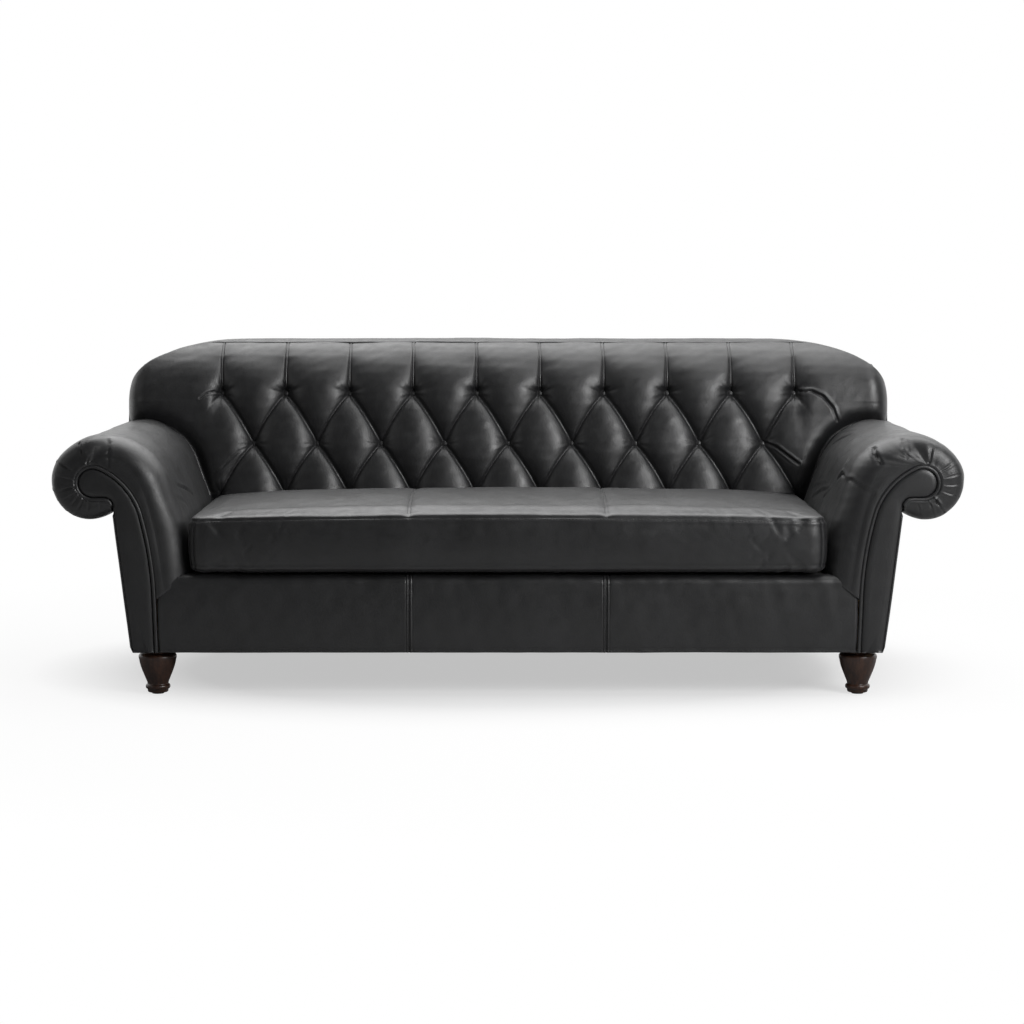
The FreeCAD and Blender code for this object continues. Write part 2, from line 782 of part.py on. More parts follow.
for x in (-ribEndX, -ribEndX / 2 - ribThick / 2, -ribThick / 2, ribEndX / 2 - ribThick / 2,
          ribEndX - ribThick):
    rib = sectionSolid(ribSection, x, x + ribThick)
    ribs.append(rib.cut(topRail).cut(tackRail))
save("back_ribs", ribs)
save("back_top_rail", topRail)
save("back_tacking_rail", tackRail)

webs = []
webStart = tackingRailZ + backWebStart
webSpan = upperRowZ - backWebTopDrop - webStart
webSteps = int(webSpan / backWebRoom)
for i in range(webSteps + 1):
    z = webStart + i * webSpan / webSteps
    start = faceSpot(z, backPad + ribDepth)[0]
    web = Part.makeBox(2 * ribEndX, webThick, webWide, V(-ribEndX, 0, -webWide / 2))
    web.rotate(V(0, 0, 0), V(1, 0, 0), -backRake)
    web.translate(start + n * webThick)
    webs.append(web)
save("back_webbing", webs)

endSection = backEdges(padGap, endPanelLow, endPanelTurn)
endFirst, endLast = endSection[0].Vertexes[0].Point, endSection[-1].Vertexes[-1].Point
endHeel = V(0, endLast.y, endPanelLow)
endPanel = sectionSolid(endSection + [line(endLast, endHeel), line(endHeel, endFirst)],
                        endPanelX, endPanelX + endPanelThick)
endPanel = max(endPanel.cut(armCutters).Solids, key=lambda s: s.Volume)
saveBoth("back_end_panel", endPanel)

backPanelTop = rearRollZ + (backPanelY - rollY) * math.tan(math.radians(rollEnd)) - padGap
backPanel = box(-backPanelHalf, backPanelHalf, frameRearY, backPanelY, legHeight, backPanelTop)
save("back_outside_panel", backPanel)

# Seat webbing, deck and dust cloth
save("seat_webbing", [box(x - webWide / 2, x + webWide / 2, railFrontY, frameRearY, railTop,
                          railTop + webThick)
                      for x in [(i - (seatWebs - 1) / 2) * seatWebPitch for i in range(seatWebs)]])
save("cross_webbing", [box(-sideRailX - railThick, sideRailX + railThick, y - webWide / 2,
                           y + webWide / 2, railTop + webThick, railTop + 2 * webThick)
                       for y in [crossWebStartY + i * crossWebPitch for i in range(crossWebs)]])
deckFrontY = railCoverRearY + gap
save("deck_pad", box(-deckHalf, deckHalf, deckFrontY, deckRearY, deckZ, deckZ + deckPadThick))
save("deck_cloth", box(-deckHalf, deckHalf, deckFrontY, deckRearY, deckZ + deckPadThick, deckTopZ))
dust = box(-railEndX, railEndX, railFrontY, frameRearY, legHeight - dustThick, legHeight)
for x, y in legPlaces:
    dust = dust.cut(rod(bunWide + gap, x, y, legHeight - 2 * dustThick, legHeight + dustThick))
save("dust_cloth", dust)


# Front rail padding and cover
def railEdges(depth):
    front = panelFrontY + depth
    top = railCoverTop - depth
    r = railCoverRadius - depth
    cy, cz = panelFrontY + railCoverRadius + railFootInset, railCoverTop - railCoverRadius
    a = V(0, front + railFootInset, legHeight)
    b = V(0, cy - r, cz)
    c = V(0, cy - r * math.sqrt(0.5), cz + r * math.sqrt(0.5))
    d = V(0, cy, top)
    bow = V(0, min(a.y, b.y) - railCoverBow, (a.z + b.z) / 2)
    return a, [arc(a, bow, b), arc(b, c, d)], d


def railSolid(depth, rear, low, half):
    a, edges, d = railEdges(depth)
    e = V(0, rear, d.z)
    f = V(0, rear, low)
    g = V(0, railFrontY - gap, low)
    h = V(0, railFrontY - gap, legHeight)
    return sectionSolid(edges + [line(d, e), line(e, f), line(f, g), line(g, h), line(h, a)],
                        -half, half)


railHalf = panelInX - pipingRadius - gap
railPad = railSolid(railCoverPad + gap, railCoverRearY, railTop + webThick + gap, railHalf)
save("front_rail_pad", railPad)
railCover = railSolid(0, railCoverRearY, railTop + webThick + gap, railHalf)
railCover = railCover.cut(railSolid(railCoverPad, railCoverRearY + cutOver, railTop, railHalf + cutOver))
for x in (-seamX, seamX):
    groove = railSolid(-cutOver, railCoverRearY + cutOver, railTop, seamWide / 2)
    groove = groove.cut(railSolid(seamDeep, railCoverRearY + 2 * cutOver, railTop - cutOver, seamWide))
    groove.translate(V(x, 0, 0))
    railCover = railCover.cut(groove)
railCover = max(railCover.Solids, key=lambda s: s.Volume)
save("front_rail_cover", railCover)


# Bench cushion: sections across the depth, one after another along X
def cushionWire(x, inset, dip):
    share = abs(x) / cushionHalf
    crown = crownHigh * (1 - share ** 4) - dip
    pull = drawnIn * (1 - share ** 2)
    y0 = cushionFrontY + boxingBulge + pull + inset
    y1 = cushionRearY - pull - inset
    z0 = cushionZ + inset
    z1 = cushionSeamZ - inset
    a, b = V(x, y0 + cushionHeel, z0), V(x, y0, z0 + cushionHeel)
    c, d = V(x, y0, z1), V(x, y1, z1)
    e, f = V(x, y1, z0 + cushionHeel), V(x, y1 - cushionHeel, z0)
    bulge = V(x, y0 - boxingBulge * (1 - inset / (cushionEdge + cutOver)), (b.z + c.z) / 2)
    top = V(x, (y0 + y1) / 2, z1 + max(crown, leastCrown))
    return Part.Wire([line(a, b), arc(b, bulge, c), arc(c, top, d), line(d, e), line(e, f), line(f, a)])


edgePlaces = [(cushionHalf, cushionEdge, 0.0), (cushionHalf - cushionEdge / 3, cushionEdge / 3, 0.0),
              (cushionHalf - cushionEdge, 0.0, 0.0)]
crownPlaces = [(cushionHalf * share, 0.0, 0.0) for share in (0.92, 0.81, 0.62)]
seamPlaces = [(seamX + seamWide, 0.0, 0.0), (seamX, 0.0, seamWide), (seamX - seamWide, 0.0, 0.0),
              (0.0, 0.0, 0.0)]
places = edgePlaces + crownPlaces + seamPlaces
stations = [(-x, i, d) for x, i, d in places] + [(x, i, d) for x, i, d in places[-2::-1]]
cushion = Part.makeLoft([cushionWire(*s) for s in stations], True, True)
print("cushion", cushion.isValid(), round(cushion.Volume))
recess = box(-zipHalf - gap, zipHalf + gap, cushionRearY - drawnIn - tapeThick - gap, cushionRearY,
             zipZ - tapeHigh / 2 - gap, zipZ + tapeHigh / 2 + gap)


def coreBlock(less):
    return box(-cushionHalf + coreSide + less, cushionHalf - coreSide - less,
               cushionFrontY + coreFront + less, cushionRearY - coreRear - less,
               cushionZ + coverWall + less, cushionSeamZ - coreTop - less)


save("cushion_cover", cushion.cut(coreBlock(0)).cut(recess))
save("cushion_core", coreBlock(gap))

# Zip on the rear boxing
tapeY = cushionRearY - drawnIn - tapeThick
tape = box(-zipHalf, zipHalf, tapeY, tapeY + tapeThick, zipZ - tapeHigh / 2, zipZ + tapeHigh / 2)
save("zip_tape", tape)
teeth = box(-zipHalf + teethInset, zipHalf - teethInset, tapeY + tapeThick,
            tapeY + tapeThick + teethThick, zipZ - teethHigh / 2, zipZ + teethHigh / 2)
save("zip_teeth", teeth)
slotHigh = teethHigh + 2 * runGap
sliderHigh = slotHigh + 2 * sliderWall
sliderX = zipHalf - sliderInset
sliderY = tapeY + tapeThick + runGap
pullY = sliderY + teethThick + sliderWall
slider = box(sliderX, sliderX + sliderLong, sliderY, pullY, zipZ - sliderHigh / 2, zipZ + sliderHigh / 2)
slot = box(sliderX, sliderX + sliderLong, sliderY, sliderY + teethThick,
           zipZ - slotHigh / 2, zipZ + slotHigh / 2)
pull = box(sliderX - pullLong, sliderX + sliderWall, pullY, pullY + sliderWall,
           zipZ - pullHigh / 2, zipZ + pullHigh / 2)
save("zip_slider", slider.cut(slot).fuse(pull).removeSplitter())
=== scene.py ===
import bpy
import bmesh
import json
import math
import numpy as np
import time
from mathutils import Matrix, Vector
from mathutils.bvhtree import BVHTree


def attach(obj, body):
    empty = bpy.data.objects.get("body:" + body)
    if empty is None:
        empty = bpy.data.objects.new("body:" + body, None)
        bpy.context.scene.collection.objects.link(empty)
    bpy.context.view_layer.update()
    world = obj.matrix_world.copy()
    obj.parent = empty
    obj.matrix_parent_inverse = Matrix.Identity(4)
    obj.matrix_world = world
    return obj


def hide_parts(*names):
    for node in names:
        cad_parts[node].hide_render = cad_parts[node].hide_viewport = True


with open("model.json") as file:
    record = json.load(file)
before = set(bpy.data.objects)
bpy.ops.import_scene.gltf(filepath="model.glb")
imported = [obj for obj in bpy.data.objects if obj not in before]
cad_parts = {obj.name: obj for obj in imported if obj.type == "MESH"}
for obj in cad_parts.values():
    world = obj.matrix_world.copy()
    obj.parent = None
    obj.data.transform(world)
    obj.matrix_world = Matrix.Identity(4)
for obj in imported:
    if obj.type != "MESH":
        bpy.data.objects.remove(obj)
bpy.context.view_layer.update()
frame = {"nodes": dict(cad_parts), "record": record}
print("frame loaded:", len(frame["nodes"]), "nodes")

rad = math.radians
view = dict(place=(0.0107, -6.690, 1.088), tilt=5.73, lens=88.28)


def smooth(low, high, x):
    t = np.clip((x - low) / (high - low), 0.0, 1.0)
    return t * t * (3 - 2 * t)


def waves(points, size, seed, octaves=2):
    # soft bumps that never repeat in the sofa's length, about -1 to 1
    rng = np.random.RandomState(seed)
    total = np.zeros(points.shape[:-1])
    weight = 0.0
    for octave in range(octaves):
        scale = 2 * math.pi / (size * 0.5 ** octave)
        share = 0.55 ** octave
        for k in range(5):
            way = rng.normal(size=3)
            way *= scale * rng.uniform(0.6, 1.3) / np.linalg.norm(way)
            total += share * np.sin(points @ way + rng.uniform(0, 6.28))
        weight += share * 2.2
    return total / weight


def newObject(name, verts, faces, material, body="sofa", slot="black_leather", shade=True):
    mesh = bpy.data.meshes.new(name)
    mesh.from_pydata([tuple(v) for v in verts], [], faces)
    mesh.validate()
    mesh.update()
    if shade:
        mesh.polygons.foreach_set("use_smooth", [True] * len(mesh.polygons))
    obj = bpy.data.objects.new(name, mesh)
    bpy.context.scene.collection.objects.link(obj)
    mesh.materials.append(material)
    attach(obj, body)
    return obj


def gridFaces(rows, cols, closed=False, flip=False, start=0):
    faces = []
    last = cols if closed else cols - 1
    for i in range(rows - 1):
        for j in range(last):
            k = (j + 1) % cols
            quad = (start + i * cols + j, start + i * cols + k,
                    start + (i + 1) * cols + k, start + (i + 1) * cols + j)
            faces.append(quad[::-1] if flip else quad)
    return faces


def rimFaces(rows, cols):
    # the narrow faces that join two equal grids of points round their edges
    loop = ([(0, j) for j in range(cols)] + [(i, cols - 1) for i in range(1, rows)] +
            [(rows - 1, j) for j in range(cols - 2, -1, -1)] + [(i, 0) for i in range(rows - 2, 0, -1)])
    spots = [i * cols + j for i, j in loop]
    return [(a, rows * cols + a, rows * cols + b, b) for a, b in zip(spots, spots[1:] + spots[:1])]


def pointsOf(mesh):
    points = np.empty(len(mesh.vertices) * 3)
    mesh.vertices.foreach_get("co", points)
    return points.reshape(-1, 3)


def setPoints(mesh, points):
    mesh.vertices.foreach_set("co", points.ravel())
    mesh.update()


def lengthAlong(line):
    return np.concatenate([[0], np.cumsum(np.linalg.norm(np.diff(line, axis=0), axis=1))])


def across(x, points, side=1):
    # a row of y and z pairs set at one distance from the middle
    return np.stack([np.full(len(points), x * side), points[:, 0], points[:, 1]], 1)


def upright(points, y, side=1):
    # a row of x and z pairs set at one depth
    return np.stack([points[:, 0] * side, np.full(len(points), y), points[:, 1]], 1)


def fixNormals(obj):
    bm = bmesh.new()
    bm.from_mesh(obj.data)
    bmesh.ops.remove_doubles(bm, verts=bm.verts, dist=0.00002)
    bmesh.ops.recalc_face_normals(bm, faces=bm.faces)
    bm.to_mesh(obj.data)
    bm.free()


def closedGrid(name, grid, material, capEnds=True, **words):
    # a tube of sections: each row is one closed section, and the ends are filled
    rows, cols = grid.shape[:2]
    faces = gridFaces(rows, cols, closed=True)
    if capEnds:
        faces.append(tuple(range(cols))[::-1])
        faces.append(tuple(range((rows - 1) * cols, rows * cols)))
    obj = newObject(name, grid.reshape(-1, 3), faces, material, **words)
    fixNormals(obj)
    return obj


def tubeAlong(points, radius, sides=10, closed=False):
    # grid of a round cord's skin along a line of points
    points = np.asarray(points, float)
    count = len(points)
    if closed:
        ways = np.roll(points, -1, 0) - np.roll(points, 1, 0)
    else:
        ways = np.gradient(points, axis=0)
    ways /= np.linalg.norm(ways, axis=1)[:, None]
    side = np.cross(ways[0], [0.123, 0.456, 0.881])
    side /= np.linalg.norm(side)
    rings = []
    for i in range(count):
        side = side - ways[i] * np.dot(side, ways[i])
        side /= np.linalg.norm(side)
        up = np.cross(ways[i], side)
        a = np.arange(sides) * 2 * math.pi / sides
        rings.append(points[i] + radius * (np.cos(a)[:, None] * side + np.sin(a)[:, None] * up))
    return np.array(rings)


def joinParts(name, parts, material, **words):
    # several grids of rings in one mesh
    verts, faces = [], []
    for grid, closedLong in parts:
        start = len(verts)
        rows, cols = grid.shape[:2]
        verts += [tuple(v) for v in grid.reshape(-1, 3)]
        faces += gridFaces(rows, cols, closed=True, start=start)
        if closedLong:
            for j in range(cols):
                k = (j + 1) % cols
                a = start + (rows - 1) * cols
                faces.append((a + j, a + k, start + k, start + j))
        else:
            faces.append(tuple(start + j for j in range(cols))[::-1])
            faces.append(tuple(start + (rows - 1) * cols + j for j in range(cols)))
    obj = newObject(name, verts, faces, material, **words)
    fixNormals(obj)
    return obj


def gridNormals(grid, flip=False):
    # outward way of each point on a grid of rows
    du = np.gradient(grid, axis=0)
    dv = np.gradient(grid, axis=1)
    n = np.cross(du, dv) * (-1 if flip else 1)
    return n / np.maximum(np.linalg.norm(n, axis=2), 1e-12)[..., None]


def wayTo(points, line):
    # nearest distance to a line of points, how far along it, and the way from it
    flat = points.reshape(-1, points.shape[-1])
    best = np.full(len(flat), 9.0)
    along = np.zeros(len(flat))
    side = np.zeros((len(flat), flat.shape[1]))
    total = np.sum(np.linalg.norm(np.diff(line, axis=0), axis=1))
    gone = 0.0
    for a, b in zip(line[:-1], line[1:]):
        ab = b - a
        size = np.linalg.norm(ab)
        t = np.clip(((flat - a) @ ab) / (size * size), 0, 1)
        off = flat - a - t[:, None] * ab
        d = np.linalg.norm(off, axis=1)
        near = d < best
        best = np.where(near, d, best)
        along = np.where(near, (gone + t * size) / total, along)
        side = np.where(near[:, None], off, side)
        gone += size
    shape = points.shape[:-1]
    return best.reshape(shape), along.reshape(shape), side.reshape(points.shape)


def pictureOf(points):
    # where the camera below sees each point, in pixels of a 1024 picture
    tilt = rad(view["tilt"])
    rel = points - np.array(view["place"])
    deep = rel[..., 1] * math.cos(tilt) - rel[..., 2] * math.sin(tilt)
    up = rel[..., 1] * math.sin(tilt) + rel[..., 2] * math.cos(tilt)
    scale = view["lens"] / 36.0 * 1024 / deep
    return np.stack([512 + rel[..., 0] * scale, 512 - up * scale], -1), deep


def pressCreases(grid, normals, creases):
    # short folds pressed into a grid, each given by the pixels where the photograph shows it
    seen, deep = pictureOf(grid)
    facing = np.einsum("ijk,ijk->ij", normals, np.array(view["place"]) - grid) > 0.02
    push = np.zeros(grid.shape[:2])
    for pixels, depth, width, ridge in creases:
        depth, ridge = depth * 1.5, ridge * 1.3
        line = []
        for px, py in pixels:
            away = np.hypot(seen[..., 0] - px, seen[..., 1] - py)
            score = np.where(facing, away + 0.3 * (deep - deep.min()), 999.0)
            i, j = np.unravel_index(np.argmin(score), score.shape)
            line.append(grid[i, j])
        line = np.array(line)
        if np.linalg.norm(line[-1] - line[0]) < 0.002:
            continue
        d, along, side = wayTo(grid, line)
        way = (line[-1] - line[0]) / np.linalg.norm(line[-1] - line[0])
        over = np.sign(np.einsum("ijk,ijk->ij", np.cross(normals, way), side))
        taper = np.sin(math.pi * np.clip(0.12 + 0.80 * along, 0, 1)) ** 0.6
        push -= depth * taper * np.exp(-(d / width) ** 2)
        push += ridge * taper * np.exp(-((d * over - 1.9 * width) / (1.3 * width)) ** 2)
    return grid + normals * push[..., None]


def resample(points, step):
    points = np.asarray(points, float)
    length = lengthAlong(points)
    count = max(2, int(round(length[-1] / step)) + 1)
    at = np.linspace(0, length[-1], count)
    return np.stack([np.interp(at, length, points[:, i]) for i in range(points.shape[1])], 1)


def arcPoints(cx, cz, radius, start, end, count=24):
    a = np.radians(np.linspace(start, end, count))
    return np.stack([cx + radius * np.cos(a), cz + radius * np.sin(a)], 1)


def nodeMaterial(name):
    material = bpy.data.materials.new(name)
    material.use_nodes = True
    tree = material.node_tree
    tree.nodes.clear()
    out = tree.nodes.new("ShaderNodeOutputMaterial")
    shader = tree.nodes.new("ShaderNodeBsdfPrincipled")
    tree.links.new(shader.outputs[0], out.inputs[0])
    return material, tree, shader


def addNode(tree, kind, **values):
    node = tree.nodes.new("ShaderNode" + kind)
    for key, value in values.items():
        if key in node.inputs:
            node.inputs[key].default_value = value
        else:
            setattr(node, key, value)
    return node


def joinNodes(tree, *pairs):
    for source, target in pairs:
        tree.links.new(source, target)


def ramp(tree, source, stops):
    node = addNode(tree, "ValToRGB")
    while len(node.color_ramp.elements) < len(stops):
        node.color_ramp.elements.new(0.5)
    for element, (place, value) in zip(node.color_ramp.elements, stops):
        element.position = place
        colour = value if isinstance(value, tuple) else (value, value, value)
        element.color = (*colour, 1)
    tree.links.new(source, node.inputs[0])
    return node.outputs[0]


def mixColour(tree, factor, a, b, blend="MIX"):
    node = addNode(tree, "Mix", data_type="RGBA", blend_type=blend)
    for socket, value in ((node.inputs[0], factor), (node.inputs[6], a), (node.inputs[7], b)):
        if hasattr(value, "links"):
            tree.links.new(value, socket)
        elif isinstance(value, tuple):
            socket.default_value = (*value, 1)
        else:
            socket.default_value = value
    return node.outputs[2]


def bumpOn(tree, height, strength, distance, before=None):
    node = addNode(tree, "Bump", Strength=strength, Distance=distance)
    tree.links.new(height, node.inputs["Height"])
    if before is not None:
        tree.links.new(before, node.inputs["Normal"])
    return node.outputs[0]


hide = dict(dark=(0.0062, 0.0063, 0.0070), light=(0.0150, 0.0154, 0.0168), worn=(0.045, 0.045, 0.048),
            roughLow=0.36, roughHigh=0.50, pebble=620.0, pore=1500.0, crease=34.0)


def blackHide(name, tone=1.0, creasing=1.0):
    material, tree, shader = nodeMaterial(name)
    place = addNode(tree, "TexCoord").outputs["Object"]
    cloud = addNode(tree, "TexNoise", Scale=5.5, Detail=4.0, Roughness=0.55)
    patch = addNode(tree, "TexNoise", Scale=38.0, Detail=5.0, Roughness=0.6)
    warp = addNode(tree, "TexNoise", Scale=260.0, Detail=2.0)
    for node in (cloud, patch, warp):
        tree.links.new(place, node.inputs["Vector"])
    bent = addNode(tree, "VectorMath", operation="MULTIPLY_ADD")
    tree.links.new(warp.outputs["Color"], bent.inputs[0])
    bent.inputs[1].default_value = (0.0011, 0.0011, 0.0011)
    tree.links.new(place, bent.inputs[2])
    pebble = addNode(tree, "TexVoronoi", feature="SMOOTH_F1", Scale=hide["pebble"], Smoothness=0.35)
    pore = addNode(tree, "TexVoronoi", feature="DISTANCE_TO_EDGE", Scale=hide["pore"])
    crease = addNode(tree, "TexVoronoi", feature="DISTANCE_TO_EDGE", Scale=hide["crease"])
    for node in (pebble, pore):
        tree.links.new(bent.outputs[0], node.inputs["Vector"])
    slow = addNode(tree, "VectorMath", operation="MULTIPLY_ADD")
    tree.links.new(patch.outputs["Color"], slow.inputs[0])
    slow.inputs[1].default_value = (0.022, 0.022, 0.022)
    joinNodes(tree, (place, slow.inputs[2]), (slow.outputs[0], crease.inputs["Vector"]))
    # colour: uneven dye, paler where the hide is rubbed on its ridges
    dark = tuple(c * tone for c in hide["dark"])
    light = tuple(c * tone for c in hide["light"])
    base = mixColour(tree, ramp(tree, cloud.outputs["Fac"], [(0.32, 0.0), (0.72, 1.0)]), dark, light)
    base = mixColour(tree, ramp(tree, pebble.outputs["Distance"], [(0.1, 0.0), (0.75, 0.55)]), base,
                     tuple(c * 0.45 for c in dark))
    worn = addNode(tree, "NewGeometry").outputs["Pointiness"]
    worn = ramp(tree, worn, [(0.515, 0.0), (0.60, 0.55)])
    base = mixColour(tree, worn, base, hide["worn"])
    tree.links.new(base, shader.inputs["Base Color"])
    gloss = ramp(tree, patch.outputs["Fac"], [(0.3, hide["roughLow"]), (0.7, hide["roughHigh"])])
    tree.links.new(gloss, shader.inputs["Roughness"])
    creaseLine = ramp(tree, crease.outputs["Distance"], [(0.0, 0.0), (0.06, 1.0)])
    normal = bumpOn(tree, creaseLine, 0.10 * creasing, 0.0006)
    normal = bumpOn(tree, patch.outputs["Fac"], 0.16 * creasing, 0.0022, normal)
    normal = bumpOn(tree, pebble.outputs["Distance"], 0.30, 0.00045, normal)
    normal = bumpOn(tree, pore.outputs["Distance"], 0.15, 0.00016, normal)
    tree.links.new(normal, shader.inputs["Normal"])
    for socket, value in (("Specular IOR Level", 0.62), ("Coat Weight", 0.22), ("Coat Roughness", 0.42),
                          ("Sheen Weight", 0.04), ("Sheen Roughness", 0.45)):
        shader.inputs[socket].default_value = value
    return material


def turnedWood(name, dark, light, gloss=0.34, coat=0.3):
    material, tree, shader = nodeMaterial(name)
    place = addNode(tree, "TexCoord").outputs["Object"]
    stretch = addNode(tree, "Mapping")
    stretch.inputs["Scale"].default_value = (60.0, 60.0, 7.0)
    tree.links.new(place, stretch.inputs["Vector"])
    grain = addNode(tree, "TexNoise", Scale=1.6, Detail=8.0, Roughness=0.62, Distortion=0.6)
    fine = addNode(tree, "TexNoise", Scale=9.0, Detail=4.0, Roughness=0.7)
    for node in (grain, fine):
        tree.links.new(stretch.outputs[0], node.inputs["Vector"])
    base = mixColour(tree, ramp(tree, grain.outputs["Fac"], [(0.36, 0.0), (0.66, 1.0)]), dark, light)
    base = mixColour(tree, ramp(tree, fine.outputs["Fac"], [(0.45, 0.0), (0.62, 0.5)]), base,
                     tuple(c * 0.4 for c in dark))
    worn = ramp(tree, addNode(tree, "NewGeometry").outputs["Pointiness"], [(0.52, 0.0), (0.62, 0.35)])
    base = mixColour(tree, worn, base, tuple(min(1.0, c * 1.8) for c in light))
    tree.links.new(base, shader.inputs["Base Color"])
    tree.links.new(ramp(tree, grain.outputs["Fac"], [(0.3, gloss), (0.7, gloss + 0.14)]),
                   shader.inputs["Roughness"])
    normal = bumpOn(tree, fine.outputs["Fac"], 0.12, 0.0005)
    tree.links.new(normal, shader.inputs["Normal"])
    shader.inputs["Coat Weight"].default_value = coat
    shader.inputs["Coat Roughness"].default_value = 0.22
    return material


def wovenCloth(name, dark, light, threads=900.0, rough=0.85):
    material, tree, shader = nodeMaterial(name)
    place = addNode(tree, "TexCoord").outputs["Object"]
    along = addNode(tree, "TexWave", wave_type="BANDS", bands_direction="X", Scale=threads / 6.3,
                    Distortion=0.4)
    across = addNode(tree, "TexWave", wave_type="BANDS", bands_direction="Y", Scale=threads / 6.3,
                     Distortion=0.4)
    blotch = addNode(tree, "TexNoise", Scale=14.0, Detail=4.0)
    for node in (along, across, blotch):
        tree.links.new(place, node.inputs["Vector"])
    weave = mixColour(tree, 0.5, along.outputs["Color"], across.outputs["Color"], "DIFFERENCE")
    base = mixColour(tree, weave, dark, light)
    base = mixColour(tree, ramp(tree, blotch.outputs["Fac"], [(0.35, 0.0), (0.7, 0.35)]), base, dark)
    tree.links.new(base, shader.inputs["Base Color"])
    tree.links.new(bumpOn(tree, weave, 0.35, 0.0004), shader.inputs["Normal"])
    shader.inputs["Roughness"].default_value = rough
    shader.inputs["Sheen Weight"].default_value = 0.15
    return material


def speckled(name, dark, light, rough, metallic=0.0, size=180.0, depth=0.0003):
    material, tree, shader = nodeMaterial(name)
    place = addNode(tree, "TexCoord").outputs["Object"]
    noise = addNode(tree, "TexNoise", Scale=size, Detail=5.0, Roughness=0.6)
    tree.links.new(place, noise.inputs["Vector"])
    tree.links.new(mixColour(tree, ramp(tree, noise.outputs["Fac"], [(0.35, 0.0), (0.65, 1.0)]), dark, light),
                   shader.inputs["Base Color"])
    tree.links.new(ramp(tree, noise.outputs["Fac"], [(0.3, rough), (0.7, min(1.0, rough + 0.15))]),
                   shader.inputs["Roughness"])
    tree.links.new(bumpOn(tree, noise.outputs["Fac"], 0.25, depth), shader.inputs["Normal"])
    shader.inputs["Metallic"].default_value = metallic
    return material


backHide = blackHide("back hide")
armHide = blackHide("arm hide")
seatHide = blackHide("seat hide", tone=1.1)
trimHide = blackHide("piping hide", tone=0.8, creasing=0.4)
legWood = turnedWood("dark walnut legs", (0.020, 0.0075, 0.0042), (0.060, 0.024, 0.012))
frameWood = turnedWood("planed frame timber", (0.34, 0.22, 0.12), (0.56, 0.41, 0.25), 0.6, 0.0)
boardWood = turnedWood("bent fibreboard", (0.24, 0.16, 0.09), (0.33, 0.23, 0.14), 0.7, 0.0)
foamStuff = speckled("cut foam", (0.62, 0.57, 0.42), (0.80, 0.76, 0.62), 0.8, size=420.0, depth=0.0008)
strapWeave = wovenCloth("elastic webbing", (0.05, 0.035, 0.028), (0.16, 0.12, 0.09), 700.0)
baseCloth = wovenCloth("black base cloth", (0.008, 0.008, 0.009), (0.030, 0.030, 0.032), 1400.0)
threadBlack = wovenCloth("bonded black thread", (0.004, 0.004, 0.004), (0.020, 0.020, 0.021), 5200.0, 0.5)
zincSteel = speckled("zinc plated steel", (0.42, 0.42, 0.41), (0.62, 0.62, 0.60), 0.32, 1.0)
glideStuff = speckled("moulded glide", (0.02, 0.017, 0.015), (0.04, 0.035, 0.03), 0.45)
zipMetal = speckled("blackened zip metal", (0.02, 0.02, 0.022), (0.06, 0.06, 0.065), 0.35, 0.9)
print("finishes made")


# the back's places are the same as the solids' own
back = dict(rake=12.0, faceY=0.142, thirdRowZ=0.456, rowGap=0.137, pitch=0.175, columns=10, pad=0.072,
            seamAngle=108.0, rollEnd=-70.0, halfWide=1.051, crestHalf=0.637, crest=0.870,
            shoulderZ=0.691, power=2.6, foot=0.330, rearY=0.490, endPanelX=1.018, endRound=0.060,
            tuckDeep=0.0016, least=0.002)
rake = rad(back["rake"])
upperRowZ = back["thirdRowZ"] + 2 * back["rowGap"]
frontRollR = (back["crest"] - upperRowZ) / (1 - math.sin(rake))
rollY = back["faceY"] + 2 * back["rowGap"] * math.tan(rake) + frontRollR * math.cos(rake)
frontRollZ = back["crest"] - frontRollR
rearRollR = back["rearY"] - rollY
rearRollZ = back["crest"] - rearRollR


def halfWidth(z):
    rise = np.clip((z - back["shoulderZ"]) / (back["crest"] - back["shoulderZ"]), 0, 1)
    span = back["halfWide"] - back["crestHalf"]
    return back["crestHalf"] + span * (1 - rise ** back["power"]) ** (1 / back["power"])


def outlineHeight(x):
    run = np.clip((np.abs(x) - back["crestHalf"]) / (back["halfWide"] - back["crestHalf"]), 0, 1)
    rise = back["crest"] - back["shoulderZ"]
    return back["shoulderZ"] + rise * (1 - run ** back["power"]) ** (1 / back["power"])


def faceStation(z):
    # y and z on the inner side of the padding, and the way out
    n = (-math.cos(rake), math.sin(rake))
    y = back["faceY"] + (z - back["thirdRowZ"]) * math.tan(rake)
    return (y - n[0] * back["pad"], z - n[1] * back["pad"], n[0], n[1])


def rollStation(degrees):
    a = rad(degrees)
    n = (math.cos(a), math.sin(a))
    if degrees >= 90:
        radius, middleZ = frontRollR - back["pad"], frontRollZ
    else:
        radius, middleZ = rearRollR - back["pad"], rearRollZ
    return (rollY + n[0] * radius, middleZ + n[1] * radius, *n)


def capOf(x, z, nz, reach):
    # height of the padding over its base: rounded at each end and never above the outline
    edge = np.clip((np.abs(x) - (reach - back["endRound"])) / back["endRound"], 0, 1)
    cap = back["pad"] * np.sqrt(np.clip(1 - edge ** 2.3, 0, 1))
    if nz > 0.22:
        cap = np.minimum(cap, np.clip((outlineHeight(x) - z) / nz, 0, 1))
    return cap


def acrossPoints(step, mid, ends=26):
    # even steps over the middle and finer ones round each end, as a share of the end's own reach
    middle = np.linspace(-mid, mid, int(2 * mid / step) + 1)
    curve = np.sin(np.linspace(0, math.pi / 2, ends + 1))[1:]
    return middle, curve


